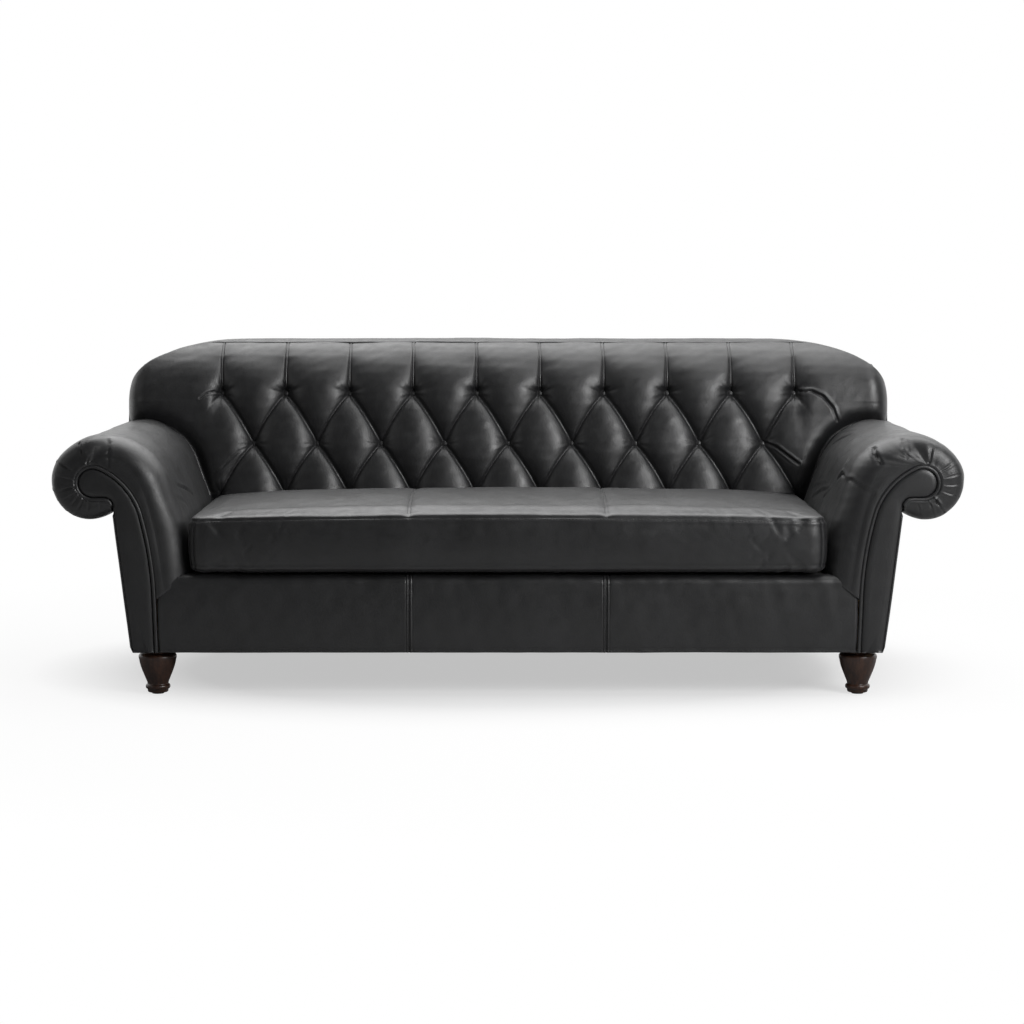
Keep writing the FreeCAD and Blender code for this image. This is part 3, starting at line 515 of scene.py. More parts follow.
# so are the arm's
arm = dict(rollX=1.040, rollZ=0.540, rollR=0.095, crownR=0.155, crownJoin=45.0, insideAngle=160.0,
           insideRun=0.115, insideBend=0.250, lean=3.0, tuck=-125.0, base=0.306, rearY=0.388,
           frontY=-0.486, outTopX=0.985, outTopZ=0.461, outBottomX=0.943, bottomZ=0.112, sideThick=0.006)


def sideX(z, inset=0.0):
    share = (arm["outTopZ"] - z) / (arm["outTopZ"] - arm["bottomZ"])
    return arm["outTopX"] - share * (arm["outTopX"] - arm["outBottomX"]) - inset


def armOutline(count=(14, 36, 24, 60, 92)):
    # right arm in XZ: foot, bend, straight, crown and roll down to the tuck
    joinX = arm["rollX"] + (arm["rollR"] - arm["crownR"]) * math.cos(rad(arm["crownJoin"]))
    joinZ = arm["rollZ"] + (arm["rollR"] - arm["crownR"]) * math.sin(rad(arm["crownJoin"]))
    crown = arcPoints(joinX, joinZ, arm["crownR"], arm["insideAngle"], arm["crownJoin"], count[3])
    roll = arcPoints(arm["rollX"], arm["rollZ"], arm["rollR"], arm["crownJoin"], arm["tuck"], count[4])
    high = rad(arm["insideAngle"] - 90)
    low = rad(90 - arm["lean"])
    knee = crown[0] - np.array([math.cos(high), math.sin(high)]) * arm["insideRun"]
    centre = knee + np.array([math.sin(high), -math.cos(high)]) * arm["insideBend"]
    turn = np.linspace(low, high, count[1])
    bend = centre + np.stack([-np.sin(turn), np.cos(turn)], 1) * arm["insideBend"]
    heel = bend[0]
    foot = np.array([heel[0] - (heel[1] - arm["base"]) * math.tan(rad(arm["lean"])), arm["base"]])
    lower = np.linspace(foot, heel, count[0])
    straight = np.linspace(knee, crown[0], count[2])
    points = np.concatenate([lower[:-1], bend[:-1], straight[:-1], crown[:-1], roll])
    starts = np.cumsum([0, count[0] - 1, count[1] - 1, count[2] - 1, count[3] - 1])
    return points, starts


panel = dict(inX=0.877, straight=0.138, lean=1.7, bend=0.892, turn=13.4, headX=1.030, headZ=0.537,
             headR=0.041, neckR=0.018, piping=0.004, cordR=0.0044)


def panelLine():
    # right arm's piping line from the floor of the frame, round the head and back to the neck
    heading = rad(90 - panel["lean"])
    a = np.array([panel["inX"], arm["bottomZ"]])
    b = a + np.array([math.cos(heading), math.sin(heading)]) * panel["straight"]
    right = np.array([math.sin(heading), -math.cos(heading)])
    centre = b + right * panel["bend"]
    start = math.degrees(heading) + 90
    first = arcPoints(*centre, panel["bend"], start, start - panel["turn"], 30)
    c = first[-1]
    turned = heading - rad(panel["turn"])
    right = np.array([math.sin(turned), -math.cos(turned)])
    away = c - np.array([panel["headX"], panel["headZ"]])
    radius = (panel["headR"] ** 2 - away @ away) / (2 * (away @ right + panel["headR"]))
    shoulder = c + right * radius
    meet = math.degrees(math.atan2(panel["headZ"] - shoulder[1], panel["headX"] - shoulder[0]))
    second = arcPoints(*shoulder, radius, math.degrees(turned) + 90, meet, 24)
    head = arcPoints(panel["headX"], panel["headZ"], panel["headR"], meet, -90, 44)
    slope = math.atan2(arm["outTopX"] - arm["outBottomX"], arm["outTopZ"] - arm["bottomZ"])
    underZ = panel["headZ"] - panel["headR"]
    endZ = underZ - panel["neckR"] + panel["neckR"] * math.sin(slope)
    endX = sideX(endZ, arm["sideThick"] - panel["piping"])
    neckX = endX + panel["neckR"] * math.cos(slope)
    neck = arcPoints(neckX, underZ - panel["neckR"], panel["neckR"], 90, 180 - math.degrees(slope), 12)
    line = np.concatenate([np.linspace(a, b, 20)[:-1], first[:-1], second[:-1], head, neck])
    return line, meet


outline, outlineStarts = armOutline()
pipingLine, headMeet = panelLine()


def distanceTo(line, x, z):
    # shortest way from each point to a line of points in XZ
    a, b = line[:-1], line[1:]
    ab = b - a
    p = np.stack([x.ravel(), z.ravel()], 1)
    best = np.full(len(p), 9.0)
    for i in range(0, len(a)):
        ap = p - a[i]
        t = np.clip((ap @ ab[i]) / (ab[i] @ ab[i]), 0, 1)
        d = np.linalg.norm(ap - t[:, None] * ab[i], axis=1)
        best = np.minimum(best, d)
    return best.reshape(x.shape)


quilt = dict(full=0.072, pit=0.024, deepFold=0.047, softFold=0.054, pleat=0.0655, pleatHalf=0.0032,
             bow=0.034, tuckHalf=0.0034, wideStep=0.0030, tallStep=0.0028, armTuck=0.026, footFull=0.036)
# wrinkles at the ends of the back: pixels, depth, width and the ridge beside
backCreases = [([(800, 391), (812, 391.5), (823, 396), (832, 407), (838, 421)], 0.0060, 0.0030, 0.0022),
               ([(766, 443), (776, 447), (787, 455), (799, 464)], 0.0062, 0.0030, 0.0024),
               ([(773, 449), (783, 457), (791, 464)], 0.0020, 0.0018, 0.0008),
               ([(221, 393), (213, 391.5), (206, 393), (199, 398)], 0.0044, 0.0026, 0.0014),
               ([(250, 444), (238, 452), (226, 463), (214, 476)], 0.0016, 0.0030, 0.0008),
               ([(800, 391), (789, 402), (777, 420), (768, 436)], 0.0020, 0.0022, 0.0010)]


def pillow(d, power, soft):
    # 0 on a fold, 1 in the middle of a diamond, steep beside the fold
    return (1 - (1 - 2 * np.clip(d, 0, 0.5)) ** power) ** soft


def foldDepth(x, row, up):
    # how far the hide is drawn in from full padding at each place
    a = x / back["pitch"] + (back["columns"] - 1) / 2
    below = 2 - row
    half = below / 2 + quilt["bow"] * np.abs(np.sin(math.pi * np.clip(below, 0, 2)))
    p, q = a - half, a + half
    left = np.ones(x.shape)
    full = quilt["full"]
    button = math.sqrt(quilt["pit"] * full)
    last = back["columns"] - 1
    slant = 0.848 * back["pitch"]
    for line, other, low, power, soft, deep in ((p, q, quilt["deepFold"], 2.5, 0.60, True),
                                                (q, p, quilt["softFold"], 2.3, 0.66, False)):
        near = np.round(line)
        d = np.abs(line - near)
        along = np.abs(other - np.round(other))
        rise = np.sin(math.pi * along)
        level = button + (low - button) * rise ** 0.55
        term = (full - level) * (1 - pillow(d, power, soft))
        off = (line - near) * slant
        if deep:
            # the hide is folded under itself in a narrow tuck along the falling lines
            term += rise ** 0.4 * (0.0030 * np.exp(-((off + quilt["tuckHalf"]) / 0.0019) ** 2)
                                   + 0.0026 * np.exp(-((off - quilt["tuckHalf"]) / 0.0017) ** 2)
                                   - 0.0018 * np.exp(-((off - 0.0005) / 0.0026) ** 2))
        else:
            term += rise ** 0.4 * 0.0026 * np.exp(-(off / 0.0021) ** 2)
        strength = np.where((near >= 0) & (near <= last), 1.0, 0.0)
        edge = last if deep else 0
        offEnd = np.clip((a - last) if deep else -a, 0, None) * back["pitch"]
        fade = np.where(near == edge, np.exp(-(offEnd / 0.022) ** 2), 1.0)
        left = left * (1 - term * strength * fade / full)
    depth = full * (1 - left)
    # above the top buttons each fold is one upright pleat that runs to the top seam
    near = np.clip(np.round(a), 0, last)
    lean = 0.003 * np.where(near == 0, -1.0, 0.0) * np.clip(up / 0.115, 0, 1)
    off = np.abs((a - near) * back["pitch"] - lean)
    beyond = np.clip(off - quilt["pleatHalf"], 0, None) / back["pitch"]
    rise = np.clip(up / 0.115, 0, 1)
    level = quilt["pit"] + (quilt["pleat"] - quilt["pit"]) * rise ** 0.42
    pleats = (full - level) * (1 - pillow(beyond + 0.002, 2.2, 0.60)) * (1 - 0.9 * smooth(0.085, 0.160, up))
    lines = np.exp(-((off - quilt["pleatHalf"]) / 0.0013) ** 2) * 0.0026
    strip = smooth(quilt["pleatHalf"] + 0.0006, quilt["pleatHalf"] - 0.0010, off) * 0.0007
    blend = smooth(0.0, 0.022, up)
    return np.where(up > 0, depth * (1 - blend) + (pleats + lines - strip) * blend, depth)


def buttonPlaces():
    places = []
    for row in (0, 1, 2):
        count = back["columns"] - row % 2
        for k in range(count):
            x = (k - (count - 1) / 2) * back["pitch"]
            places.append((x, row, row * back["rowGap"] / math.cos(rake)))
    return places


def buildBack():
    zs = np.linspace(back["foot"], upperRowZ, 1 + int((upperRowZ - back["foot"]) / quilt["tallStep"]))
    stations = [(faceStation(z), (z - back["thirdRowZ"]) / back["rowGap"],
                 (z - back["thirdRowZ"]) / math.cos(rake), 0.0) for z in zs[:-1]]
    top = 180 - back["rake"]
    arc = rad(top - back["seamAngle"]) * frontRollR
    rowTop = 2 * back["rowGap"] / math.cos(rake)
    for share in np.linspace(0, 1, 1 + int(arc / quilt["tallStep"])):
        stations.append((rollStation(top - share * (top - back["seamAngle"])), 2.0, rowTop + share * arc,
                         share * arc))
    straight = 0.985
    middle, curve = acrossPoints(quilt["wideStep"], straight)
    pleatAt = (np.arange(back["columns"]) - (back["columns"] - 1) / 2) * back["pitch"]
    fine = np.concatenate([pleatAt + 0.0013 * k for k in range(-4, 5)])
    middle = np.unique(np.round(np.concatenate([middle, fine]), 5))
    middle = middle[np.concatenate([[True], np.diff(middle) > 0.0006])]
    rows, inners = [], []
    for (y, z, ny, nz), row, s, up in stations:
        reach = float(halfWidth(np.array(max(z, 0.2)))) - 0.001
        end = straight + (reach - straight) * curve
        x = np.concatenate([-end[::-1], middle, end])
        cap = capOf(x, z, nz, reach)
        depth = foldDepth(x, np.full(x.shape, min(row, 2.0)), np.full(x.shape, up))
        if row < 0:
            low = smooth(-0.02, -0.40, np.array(row))
            depth = np.maximum(depth, 0) * (1 - 0.5 * low) + (quilt["full"] - quilt["footFull"]) * low
        place = np.stack([x, np.full(x.shape, s), np.zeros(x.shape)], 1)
        # small puckers round each button and a lazy unevenness in the stuffing
        pucker = np.zeros(x.shape)
        for bx, brow, bs in buttonPlaces():
            dx, ds = x - bx, s - bs
            r = np.sqrt(dx * dx + ds * ds)
            near = r < 0.08
            if near.any():
                turn = np.arctan2(ds, dx)
                seed = bx * 37.1 + brow * 11.7
                ripple = np.cos(turn * 9 + seed) + 0.6 * np.cos(turn * 14 - seed * 1.7)
                pucker += np.where(near, 0.0005 * ripple * np.exp(-((r - 0.020) / 0.018) ** 2), 0)
        lazy = 0.0016 * waves(place, 0.16, 3) + 0.0004 * waves(place, 0.045, 4)
        t = cap - depth * np.clip(cap / back["pad"], 0, 1) + pucker + lazy * np.clip(cap / 0.03, 0, 1)
        # the last of the face is gathered into the top seam
        if up > 0:
            gather = smooth(arc - 0.006, arc, np.array(up))
            t = t - gather * back["tuckDeep"] * np.clip(cap / back["pad"], 0, 1)
        zOut = z + nz * t
        ax = np.abs(x)
        near = (ax > 0.74) & (zOut < 0.70)
        if near.any() and ny < -0.2:
            d = distanceTo(outline, ax[near], zOut[near])
            t[near] -= quilt["armTuck"] * np.exp(-(d / 0.020) ** 1.5)
        t = np.clip(t, back["least"], None)
        section = np.stack([x, y + ny * t, z + nz * t], 1)
        inners.append([back["endPanelX"], y, z])
        rows.append(section)
    face = np.array(rows)
    face = pressCreases(face, gridNormals(face, True), backCreases)
    inners = np.array(inners)[:, None, :]
    grid = np.concatenate([inners * [-1, 1, 1], face, inners], 1)
    obj = closedGrid("buttoned_back_hide", grid, backHide)
    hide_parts("buttoned_back", "back_foam")
    return obj


buttonedBack = buildBack()
print("buttoned back:", len(buttonedBack.data.vertices), "points")


def buildRoll():
    angles = list(np.linspace(back["seamAngle"], 90, 12)) + list(np.linspace(89.99, back["rollEnd"], 58))
    straight = 0.960
    middle, curve = acrossPoints(0.008, straight)
    rows = []
    run = 0.0
    lastSpot = None
    for degrees in angles:
        y, z, ny, nz = rollStation(degrees)
        outer = np.array([y + ny * back["pad"], z + nz * back["pad"]])
        if lastSpot is not None:
            run += np.linalg.norm(outer - lastSpot)
        lastSpot = outer
        reach = float(halfWidth(np.array(z))) - 0.001
        end = straight + (reach - straight) * curve
        x = np.concatenate([-end[::-1], middle, end])
        cap = capOf(x, z, nz, reach)
        place = np.stack([x, np.full(x.shape, run), np.zeros(x.shape)], 1)
        a = x / back["pitch"] + (back["columns"] - 1) / 2
        off = np.abs(a - np.clip(np.round(a), 0, back["columns"] - 1)) * back["pitch"]
        pull = np.exp(-(off / 0.012) ** 2) * math.exp(-run / 0.020) * 0.0012
        t = cap - pull - back["tuckDeep"] * math.exp(-(run / 0.005) ** 2)
        t = t + (0.0012 * waves(place, 0.30, 8) + 0.0004 * waves(place, 0.05, 9)) * np.clip(cap / 0.03, 0, 1)
        t = np.clip(t, back["least"], None)
        section = np.stack([x, y + ny * t, z + nz * t], 1)
        inner = np.array([[back["endPanelX"], y, z]])
        rows.append(np.concatenate([inner * [-1, 1, 1], section, inner]))
    obj = closedGrid("back_roll_hide", np.array(rows), backHide)
    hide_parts("back_roll")


buildRoll()


def buildTopWelt():
    y, z, ny, nz = rollStation(back["seamAngle"])
    reach = float(halfWidth(np.array(z))) - 0.001
    straight = 0.97
    end = straight + (reach - straight) * np.sin(np.linspace(0, math.pi / 2, 24))
    x = np.concatenate([-end[::-1], np.linspace(-straight, straight, 390)[1:-1], end])
    t = capOf(x, z, nz, reach) - 0.0019
    line = np.stack([x, y + ny * t, z + nz * t], 1)
    joinParts("back_top_welt", [(tubeAlong(line, 0.0016, 8), False)], trimHide)


buildTopWelt()


def buildButtons():
    # a domed, hide-covered button with a gathered rim
    rings = [(0.0, 0.0062), (0.003, 0.0060), (0.006, 0.0052), (0.0082, 0.0038), (0.0095, 0.0018),
             (0.0098, -0.0004), (0.0088, -0.0022), (0.0, -0.0026)]
    rimR, proud = 0.0098, 0.0075
    verts, faces = [], []
    n = np.array([0, -math.cos(rake), math.sin(rake)])
    up = np.array([0, math.sin(rake), math.cos(rake)])
    sides = 28
    for x, row, s in buttonPlaces():
        z = back["thirdRowZ"] + row * back["rowGap"]
        y0, z0, ny, nz = faceStation(z)
        base = np.array([x, y0, z0]) + n * (quilt["pit"] + proud)
        start = len(verts)
        for radius, high in rings:
            for k in range(sides):
                a = 2 * math.pi * k / sides
                fold = 1 + 0.018 * math.cos(a * 11 + x * 50) * (radius / rimR) ** 3
                ray = math.cos(a) * np.array([1, 0, 0]) + math.sin(a) * up
                verts.append(base + n * high + radius * fold * ray)
        faces += gridFaces(len(rings), sides, closed=True, start=start)
    obj = newObject("back_button_caps", verts, faces, trimHide)
    fixNormals(obj)
    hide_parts("back_buttons")


buildButtons()
print("roll, welt and buttons made")


def buildEndPanels():
    # the recessed ends of the back between the roll and the arm
    for side, name in ((1, "right"), (-1, "left")):
        ring = []
        stations = [rollStation(min(degrees, 89.99)) for degrees in np.linspace(-70, 90, 30)]
        stations += [rollStation(degrees) for degrees in np.linspace(90, 168, 16)]
        stations += [faceStation(z) for z in np.linspace(upperRowZ, 0.640, 8)[1:]]
        for y, z, ny, nz in stations:
            ring.append((y - ny * 0.0006, z - nz * 0.0006))
        ring.append((ring[0][0], ring[-1][1]))
        ring = resample(np.array(ring + [ring[0]]), 0.006)[:-1]
        centre = ring.mean(0)
        grid = []
        for inset, high in ((0.0, -0.012), (0.0, 0.0), (0.02, 0.0016), (0.08, 0.0034), (0.2, 0.0050),
                            (0.45, 0.0062), (0.75, 0.0068)):
            line = ring + (centre - ring) * inset
            x = (1.0205 + high) * side
            grid.append(across(x, line))
        grid = np.array(grid)
        obj = closedGrid("back_end_hide_" + name, grid, backHide)
        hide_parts("back_end_panel_" + name)


buildEndPanels()


armLook = dict(depthStep=0.0062, frontCurl=0.072, reach=0.80, curlSteps=18, bandSteps=16, plumpBand=0.005,
               plumpRoll=0.0045, flapLow=0.243, behindFacing=-0.452)

# folds where the hide is gathered into the piping, and wrinkles on the inside: pixels, depth, width, ridge
armCreases = dict(
    left=[([(108.5, 439), (108.8, 452), (109, 466)], 0.0036, 0.0022, 0.0014),
          ([(112.5, 442), (112.5, 464)], 0.0016, 0.0016, 0.0),
          ([(79, 443), (82, 452), (87, 463)], 0.0042, 0.0026, 0.0022),
          ([(56, 462), (64, 467), (71, 471)], 0.0038, 0.0024, 0.0018),
          ([(53, 476), (64, 478), (74, 480)], 0.0018, 0.0018, 0.0008),
          ([(53, 491), (64, 490), (75, 488)], 0.0040, 0.0024, 0.0018),
          ([(57, 502), (67, 498), (76, 493)], 0.0020, 0.0018, 0.0008),
          ([(66, 512), (73, 504), (79, 496)], 0.0030, 0.0022, 0.0012),
          ([(74, 516), (79, 508), (83, 499)], 0.0028, 0.0020, 0.0010),
          ([(87, 518), (88, 510), (89, 501)], 0.0018, 0.0018, 0.0008),
          ([(101, 515), (100, 508), (99, 502)], 0.0016, 0.0018, 0.0006),
          ([(93, 437), (94, 450), (95, 464)], 0.0012, 0.0020, 0.0006),
          ([(177, 485), (184, 487), (192, 493)], 0.0036, 0.0030, 0.0020),
          ([(176, 497), (183, 500), (188, 506)], 0.0012, 0.0040, 0.0008)],
    right=[([(902, 439), (903, 447), (902.5, 457)], 0.0034, 0.0020, 0.0016),
           ([(908, 440), (907.5, 448), (907, 457)], 0.0030, 0.0020, 0.0014),
           ([(932, 446), (931, 454), (929, 463)], 0.0034, 0.0024, 0.0016),
           ([(958, 462), (949, 466), (938, 473)], 0.0020, 0.0020, 0.0010),
           ([(960, 474), (950, 477), (937, 480)], 0.0018, 0.0018, 0.0008),
           ([(961, 484), (950, 485), (937, 485)], 0.0018, 0.0018, 0.0008),
           ([(959, 497), (948, 493), (936, 489)], 0.0022, 0.0018, 0.0010),
           ([(931, 494), (937, 502), (944, 512)], 0.0052, 0.0026, 0.0026),
           ([(927, 497), (931, 506), (935, 516)], 0.0030, 0.0020, 0.0012),
           ([(918, 499), (920, 508), (921, 517)], 0.0014, 0.0018, 0.0006),
           ([(842, 474), (852, 480), (863, 487), (875, 495)], 0.0032, 0.0030, 0.0020),
           ([(842, 474), (844, 467), (849, 459)], 0.0030, 0.0030, 0.0016),
           ([(838, 478), (841, 474), (845, 477)], 0.0044, 0.0040, 0.0014),
           ([(874.5, 448), (877, 456), (880, 464)], 0.0100, 0.0032, 0.0034),
           ([(869, 450), (872, 459), (877, 467)], 0.0016, 0.0030, 0.0012),
           ([(834, 443), (843, 437), (852, 434)], 0.0026, 0.0030, 0.0016),
           ([(850, 441), (861, 436), (871, 435)], 0.0024, 0.0030, 0.0014),
           ([(837, 436), (846, 432), (855, 430)], 0.0016, 0.0028, 0.0010),
           ([(812, 497), (820, 491), (829, 488)], 0.0026, 0.0034, 0.0016),
           ([(822, 503), (824, 496), (831, 489)], 0.0020, 0.0030, 0.0010),
           ([(813, 487), (820, 484), (826, 484)], 0.0016, 0.0030, 0.0010)])


def pipingPartner():
    # the point of the piping line that each point of the outline is drawn to
    length, lineLength = lengthAlong(outline), lengthAlong(pipingLine)
    flapAt = lineLength[np.argmin(np.abs(pipingLine[:60, 1] - armLook["flapLow"]))]
    headAngle = np.degrees(np.arctan2(pipingLine[:, 1] - panel["headZ"], pipingLine[:, 0] - panel["headX"]))
    onHead = np.where((np.hypot(pipingLine[:, 0] - panel["headX"], pipingLine[:, 1] - panel["headZ"])
                       < panel["headR"] + 0.0002))[0]

    def headPlace(degrees):
        return lineLength[onHead[np.argmin(np.abs(headAngle[onHead] - degrees))]]

    starts = outlineStarts
    anchors = [(0.0, flapAt), (length[starts[3]], headPlace(headMeet - 6)),
               (length[starts[4]], headPlace(48)), (length[starts[4] + 24], headPlace(0)),
               (length[starts[4] + 64], headPlace(-78)), (length[-1], lineLength[-1])]
    at = np.interp(length, [a for a, b in anchors], [b for a, b in anchors])
    partner = np.stack([np.interp(at, lineLength, pipingLine[:, i]) for i in range(2)], 1)
    return partner, length


def outlineNormals(points):
    way = np.gradient(points, axis=0)
    way /= np.linalg.norm(way, axis=1)[:, None]
    return np.stack([-way[:, 1], way[:, 0]], 1)


def buildArm(side, name):
    sign = 1 if side == "right" else -1
    partner, length = pipingPartner()
    normal = outlineNormals(outline)
    onRoll = smooth(0.97, 1.05, outline[:, 0])
    count = len(outline)
    frontY, curl = arm["frontY"], armLook["frontCurl"]
    ys = np.linspace(arm["rearY"], frontY + curl, int((arm["rearY"] - frontY - curl) / armLook["depthStep"]))
    inside = smooth(0.98, 0.90, outline[:, 0]) * smooth(0.300, 0.36, outline[:, 1])
    seed = 20 if side == "right" else 40
    rows = []
    steady = smooth(0.300, 0.350, outline[:, 1])

    def lazyAt(y):
        place = np.stack([length, np.full(count, y), np.full(count, 0.1)], 1)
        return steady * (0.0022 * waves(place, 0.26, seed) + 0.0005 * waves(place, 0.06, seed + 1))

    for y in ys:
        # drawn in where the arm runs into the back, fullest just behind the front
        backTuck = -0.010 * math.exp(-(max(0.0, 0.20 - y) / 0.035) ** 2) if y < 0.2 else -0.010
        full = armLook["plumpRoll"] * onRoll * float(smooth(-0.20, -0.40, np.array(y)))
        p = outline + normal * (lazyAt(y) + backTuck * inside + full)[:, None]
        rows.append(upright(p, y, sign))
    # over the front edge and down the band to the piping
    bandVector = partner - outline
    bandLength = np.linalg.norm(bandVector, axis=1)
    bandWay = bandVector / bandLength[:, None]
    reach = np.minimum(curl, bandLength * armLook["reach"])
    for k in range(1, armLook["curlSteps"] + 1):
        a = k / armLook["curlSteps"] * math.pi / 2
        inward = reach * (1 - math.cos(a)) ** (1 + 0.9 * onRoll)
        y = ys[-1] - curl * math.sin(a)
        out = lazyAt(ys[-1]) + armLook["plumpRoll"] * onRoll
        q = outline + bandWay * (inward - out * math.cos(a))[:, None]
        rows.append(np.stack([q[:, 0] * sign, y - out * math.sin(a), q[:, 1]], 1))
    last = outline + bandWay * reach[:, None]
    outLast = lazyAt(ys[-1]) + armLook["plumpRoll"] * onRoll
    for k in range(1, armLook["bandSteps"] + 1):
        share = k / armLook["bandSteps"]
        p = last + (partner - last) * share
        plump = armLook["plumpBand"] * math.sin(math.pi * share) * 0.5
        dip = 0.0045 * float(smooth(0.75, 1.0, np.array(share)))
        y = ys[-1] - curl - plump + dip - outLast * (1 - share)
        rows.append(np.stack([p[:, 0] * sign, y, p[:, 1]], 1))
    face = np.array(rows)
    face = pressCreases(face, gridNormals(face, side == "left"), armCreases[side])
    # turned in behind the piping, and each section closed behind the facing
    turned = face[-1] * [1, 0, 1] + [0, frontY + 0.012, 0]
    face = np.concatenate([face, turned[None]], 0)
    ends = face[:, [-1, 0]].copy()
    ends[:, :, 1] = np.maximum(ends[:, :, 1], armLook["behindFacing"])
    obj = closedGrid(name, np.concatenate([face, ends], 1), armHide)
    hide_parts("arm_cover_" + side, "arm_foam_" + side)


for side in ("right", "left"):
    buildArm(side, "arm_hide_" + side)
print("arms made")


def buildFacing(side):
    sign = 1 if side == "right" else -1
    corner = np.array([[sideX(arm["bottomZ"], arm["sideThick"] - panel["piping"]), arm["bottomZ"]]])
    ring = np.concatenate([pipingLine, corner])
    ring = resample(np.concatenate([ring, ring[:1]]), 0.005)[:-1]
    centreWays = np.roll(ring, -1, 0) - np.roll(ring, 1, 0)
    centreWays /= np.linalg.norm(centreWays, axis=1)[:, None]
    inward = np.stack([centreWays[:, 1], -centreWays[:, 0]], 1)
    grid = []
    # the hem at the foot is straight, so nothing is drawn in there
    hem = smooth(arm["bottomZ"] + 0.012, arm["bottomZ"] + 0.001, ring[:, 1])
    inward[:, 1] *= 1 - hem
    for inset, high in ((0.003, -0.016), (0.003, -0.004), (0.0034, 0.0), (0.0045, 0.0022), (0.0065, 0.0042),
                        (0.0095, 0.0058), (0.0135, 0.0070), (0.0175, 0.0076), (0.0215, 0.0079)):
        line = ring + inward * inset
        grid.append(upright(line, arm["frontY"] + 0.006 - high, sign))
    obj = closedGrid("arm_facing_hide_" + side, np.array(grid), armHide)
    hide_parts("arm_front_panel_" + side)


for side in ("right", "left"):
    buildFacing(side)


def buildPiping():
    parts = []
    for sign in (1, -1):
        line = resample(pipingLine, 0.004)
        points = upright(line, arm["frontY"] + 0.0005, sign)
        parts.append((tubeAlong(points, panel["cordR"], 12), False))
    obj = joinParts("arm_piping_cord", parts, trimHide)
    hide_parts("arm_piping")


buildPiping()


def softSlab(name, width, height, place, material, crown, seed, edge=0.006, step=0.012, wave=0.0012):
    # a thin upholstered panel: a flat back, rolled edges and a slightly full face
    nu, nv = max(8, int(width / step)), max(8, int(height / step))
    u = np.linspace(0, 1, nu + 1)
    v = np.linspace(0, 1, nv + 1)
    uu, vv = np.meshgrid(u, v)
    du = np.minimum(uu, 1 - uu) * width
    dv = np.minimum(vv, 1 - vv) * height
    lift = crown * (1 - (2 * uu - 1) ** 4) * (1 - (2 * vv - 1) ** 4)
    rim = np.sqrt(np.clip(1 - (1 - np.clip(np.minimum(du, dv) / edge, 0, 1)) ** 2, 0, 1))
    local = np.stack([uu * width, vv * height, np.zeros(uu.shape)], -1)
    out = lift + wave * waves(local, 0.35, seed) * rim
    front = place(uu, vv, out, rim)
    rear = place(uu, vv, None, rim)
    rows, cols = uu.shape
    verts = np.concatenate([front.reshape(-1, 3), rear.reshape(-1, 3)])
    faces = gridFaces(rows, cols)
    faces += gridFaces(rows, cols, start=rows * cols, flip=True)
    faces += rimFaces(rows, cols)
    obj = newObject(name, verts, faces, material)
    fixNormals(obj)
    return obj


def buildOutsides():
    for side in ("right", "left"):
        sign = 1 if side == "right" else -1
        topZ = arm["rollZ"] + arm["rollR"] * math.sin(rad(arm["tuck"])) + 0.004
        y0, y1 = -0.4838, 0.3955

        def place(uu, vv, out, rim):
            z = arm["bottomZ"] + vv * (topZ - arm["bottomZ"])
            y = y0 + uu * (y1 - y0)
            x = sideX(z, arm["sideThick"])
            x = x + (rim * 0.006 + out if out is not None else 0)
            return np.stack([x * sign, y, z], -1)

        obj = softSlab("outside_arm_hide_" + side, y1 - y0, topZ - arm["bottomZ"], place, armHide, 0.003,
                       seed=60 + sign)
        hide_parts("arm_outside_panel_" + side)
    halfWide, y = 0.868, 0.388
    topZ = 0.688

    def placeBack(uu, vv, out, rim):
        z = arm["bottomZ"] + vv * (topZ - arm["bottomZ"])
        x = -halfWide + uu * 2 * halfWide
        yy = y + (rim * 0.008 + out if out is not None else 0)
        return np.stack([x, yy * np.ones_like(x), z], -1)

    obj = softSlab("outside_back_hide", 2 * halfWide, topZ - arm["bottomZ"], placeBack, backHide, 0.004,
                   seed=70)
    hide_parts("back_outside_panel")


buildOutsides()


def buildRearCaps():
    # the rear face of each arm, a flat hide panel with a rolled rim
    for side in ("right", "left"):
        sign = 1 if side == "right" else -1
        low = arm["bottomZ"]
        ring = outline - outlineNormals(outline) * 0.003
        inX, topZ = 0.8685, 0.458
        keep = ring[ring[:, 0] > inX]
        ring = np.concatenate([[[inX, low]], [[inX, keep[0, 1]]], keep,
                               [[sideX(topZ, arm["sideThick"]), topZ], [sideX(low, arm["sideThick"]), low]]])
        ring = resample(np.concatenate([ring, ring[:1]]), 0.006)[:-1]
        ways = np.roll(ring, -1, 0) - np.roll(ring, 1, 0)
        ways /= np.linalg.norm(ways, axis=1)[:, None]
        inward = np.stack([ways[:, 1], -ways[:, 0]], 1)
        grid = []
        for depth, high in ((0.0, 0.0), (0.0, 0.006), (0.0008, 0.0088), (0.0025, 0.0108), (0.005, 0.0118),
                            (0.009, 0.0122)):
            line = ring + inward * depth
            grid.append(upright(line, arm["rearY"] + high, sign))
        obj = closedGrid("arm_rear_hide_" + side, np.array(grid), armHide)
        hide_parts("arm_rear_cap_" + side)


buildRearCaps()
print("outside panels made")


rail = dict(halfWide=0.8725, frontY=-0.486, top=0.306, radius=0.024, rearY=-0.416, bottom=0.112, bow=0.005,
            seamX=0.246, seamGap=0.0075, stitchOff=0.0048, hemZ=0.121, baseZ=0.293, innerY=-0.437)


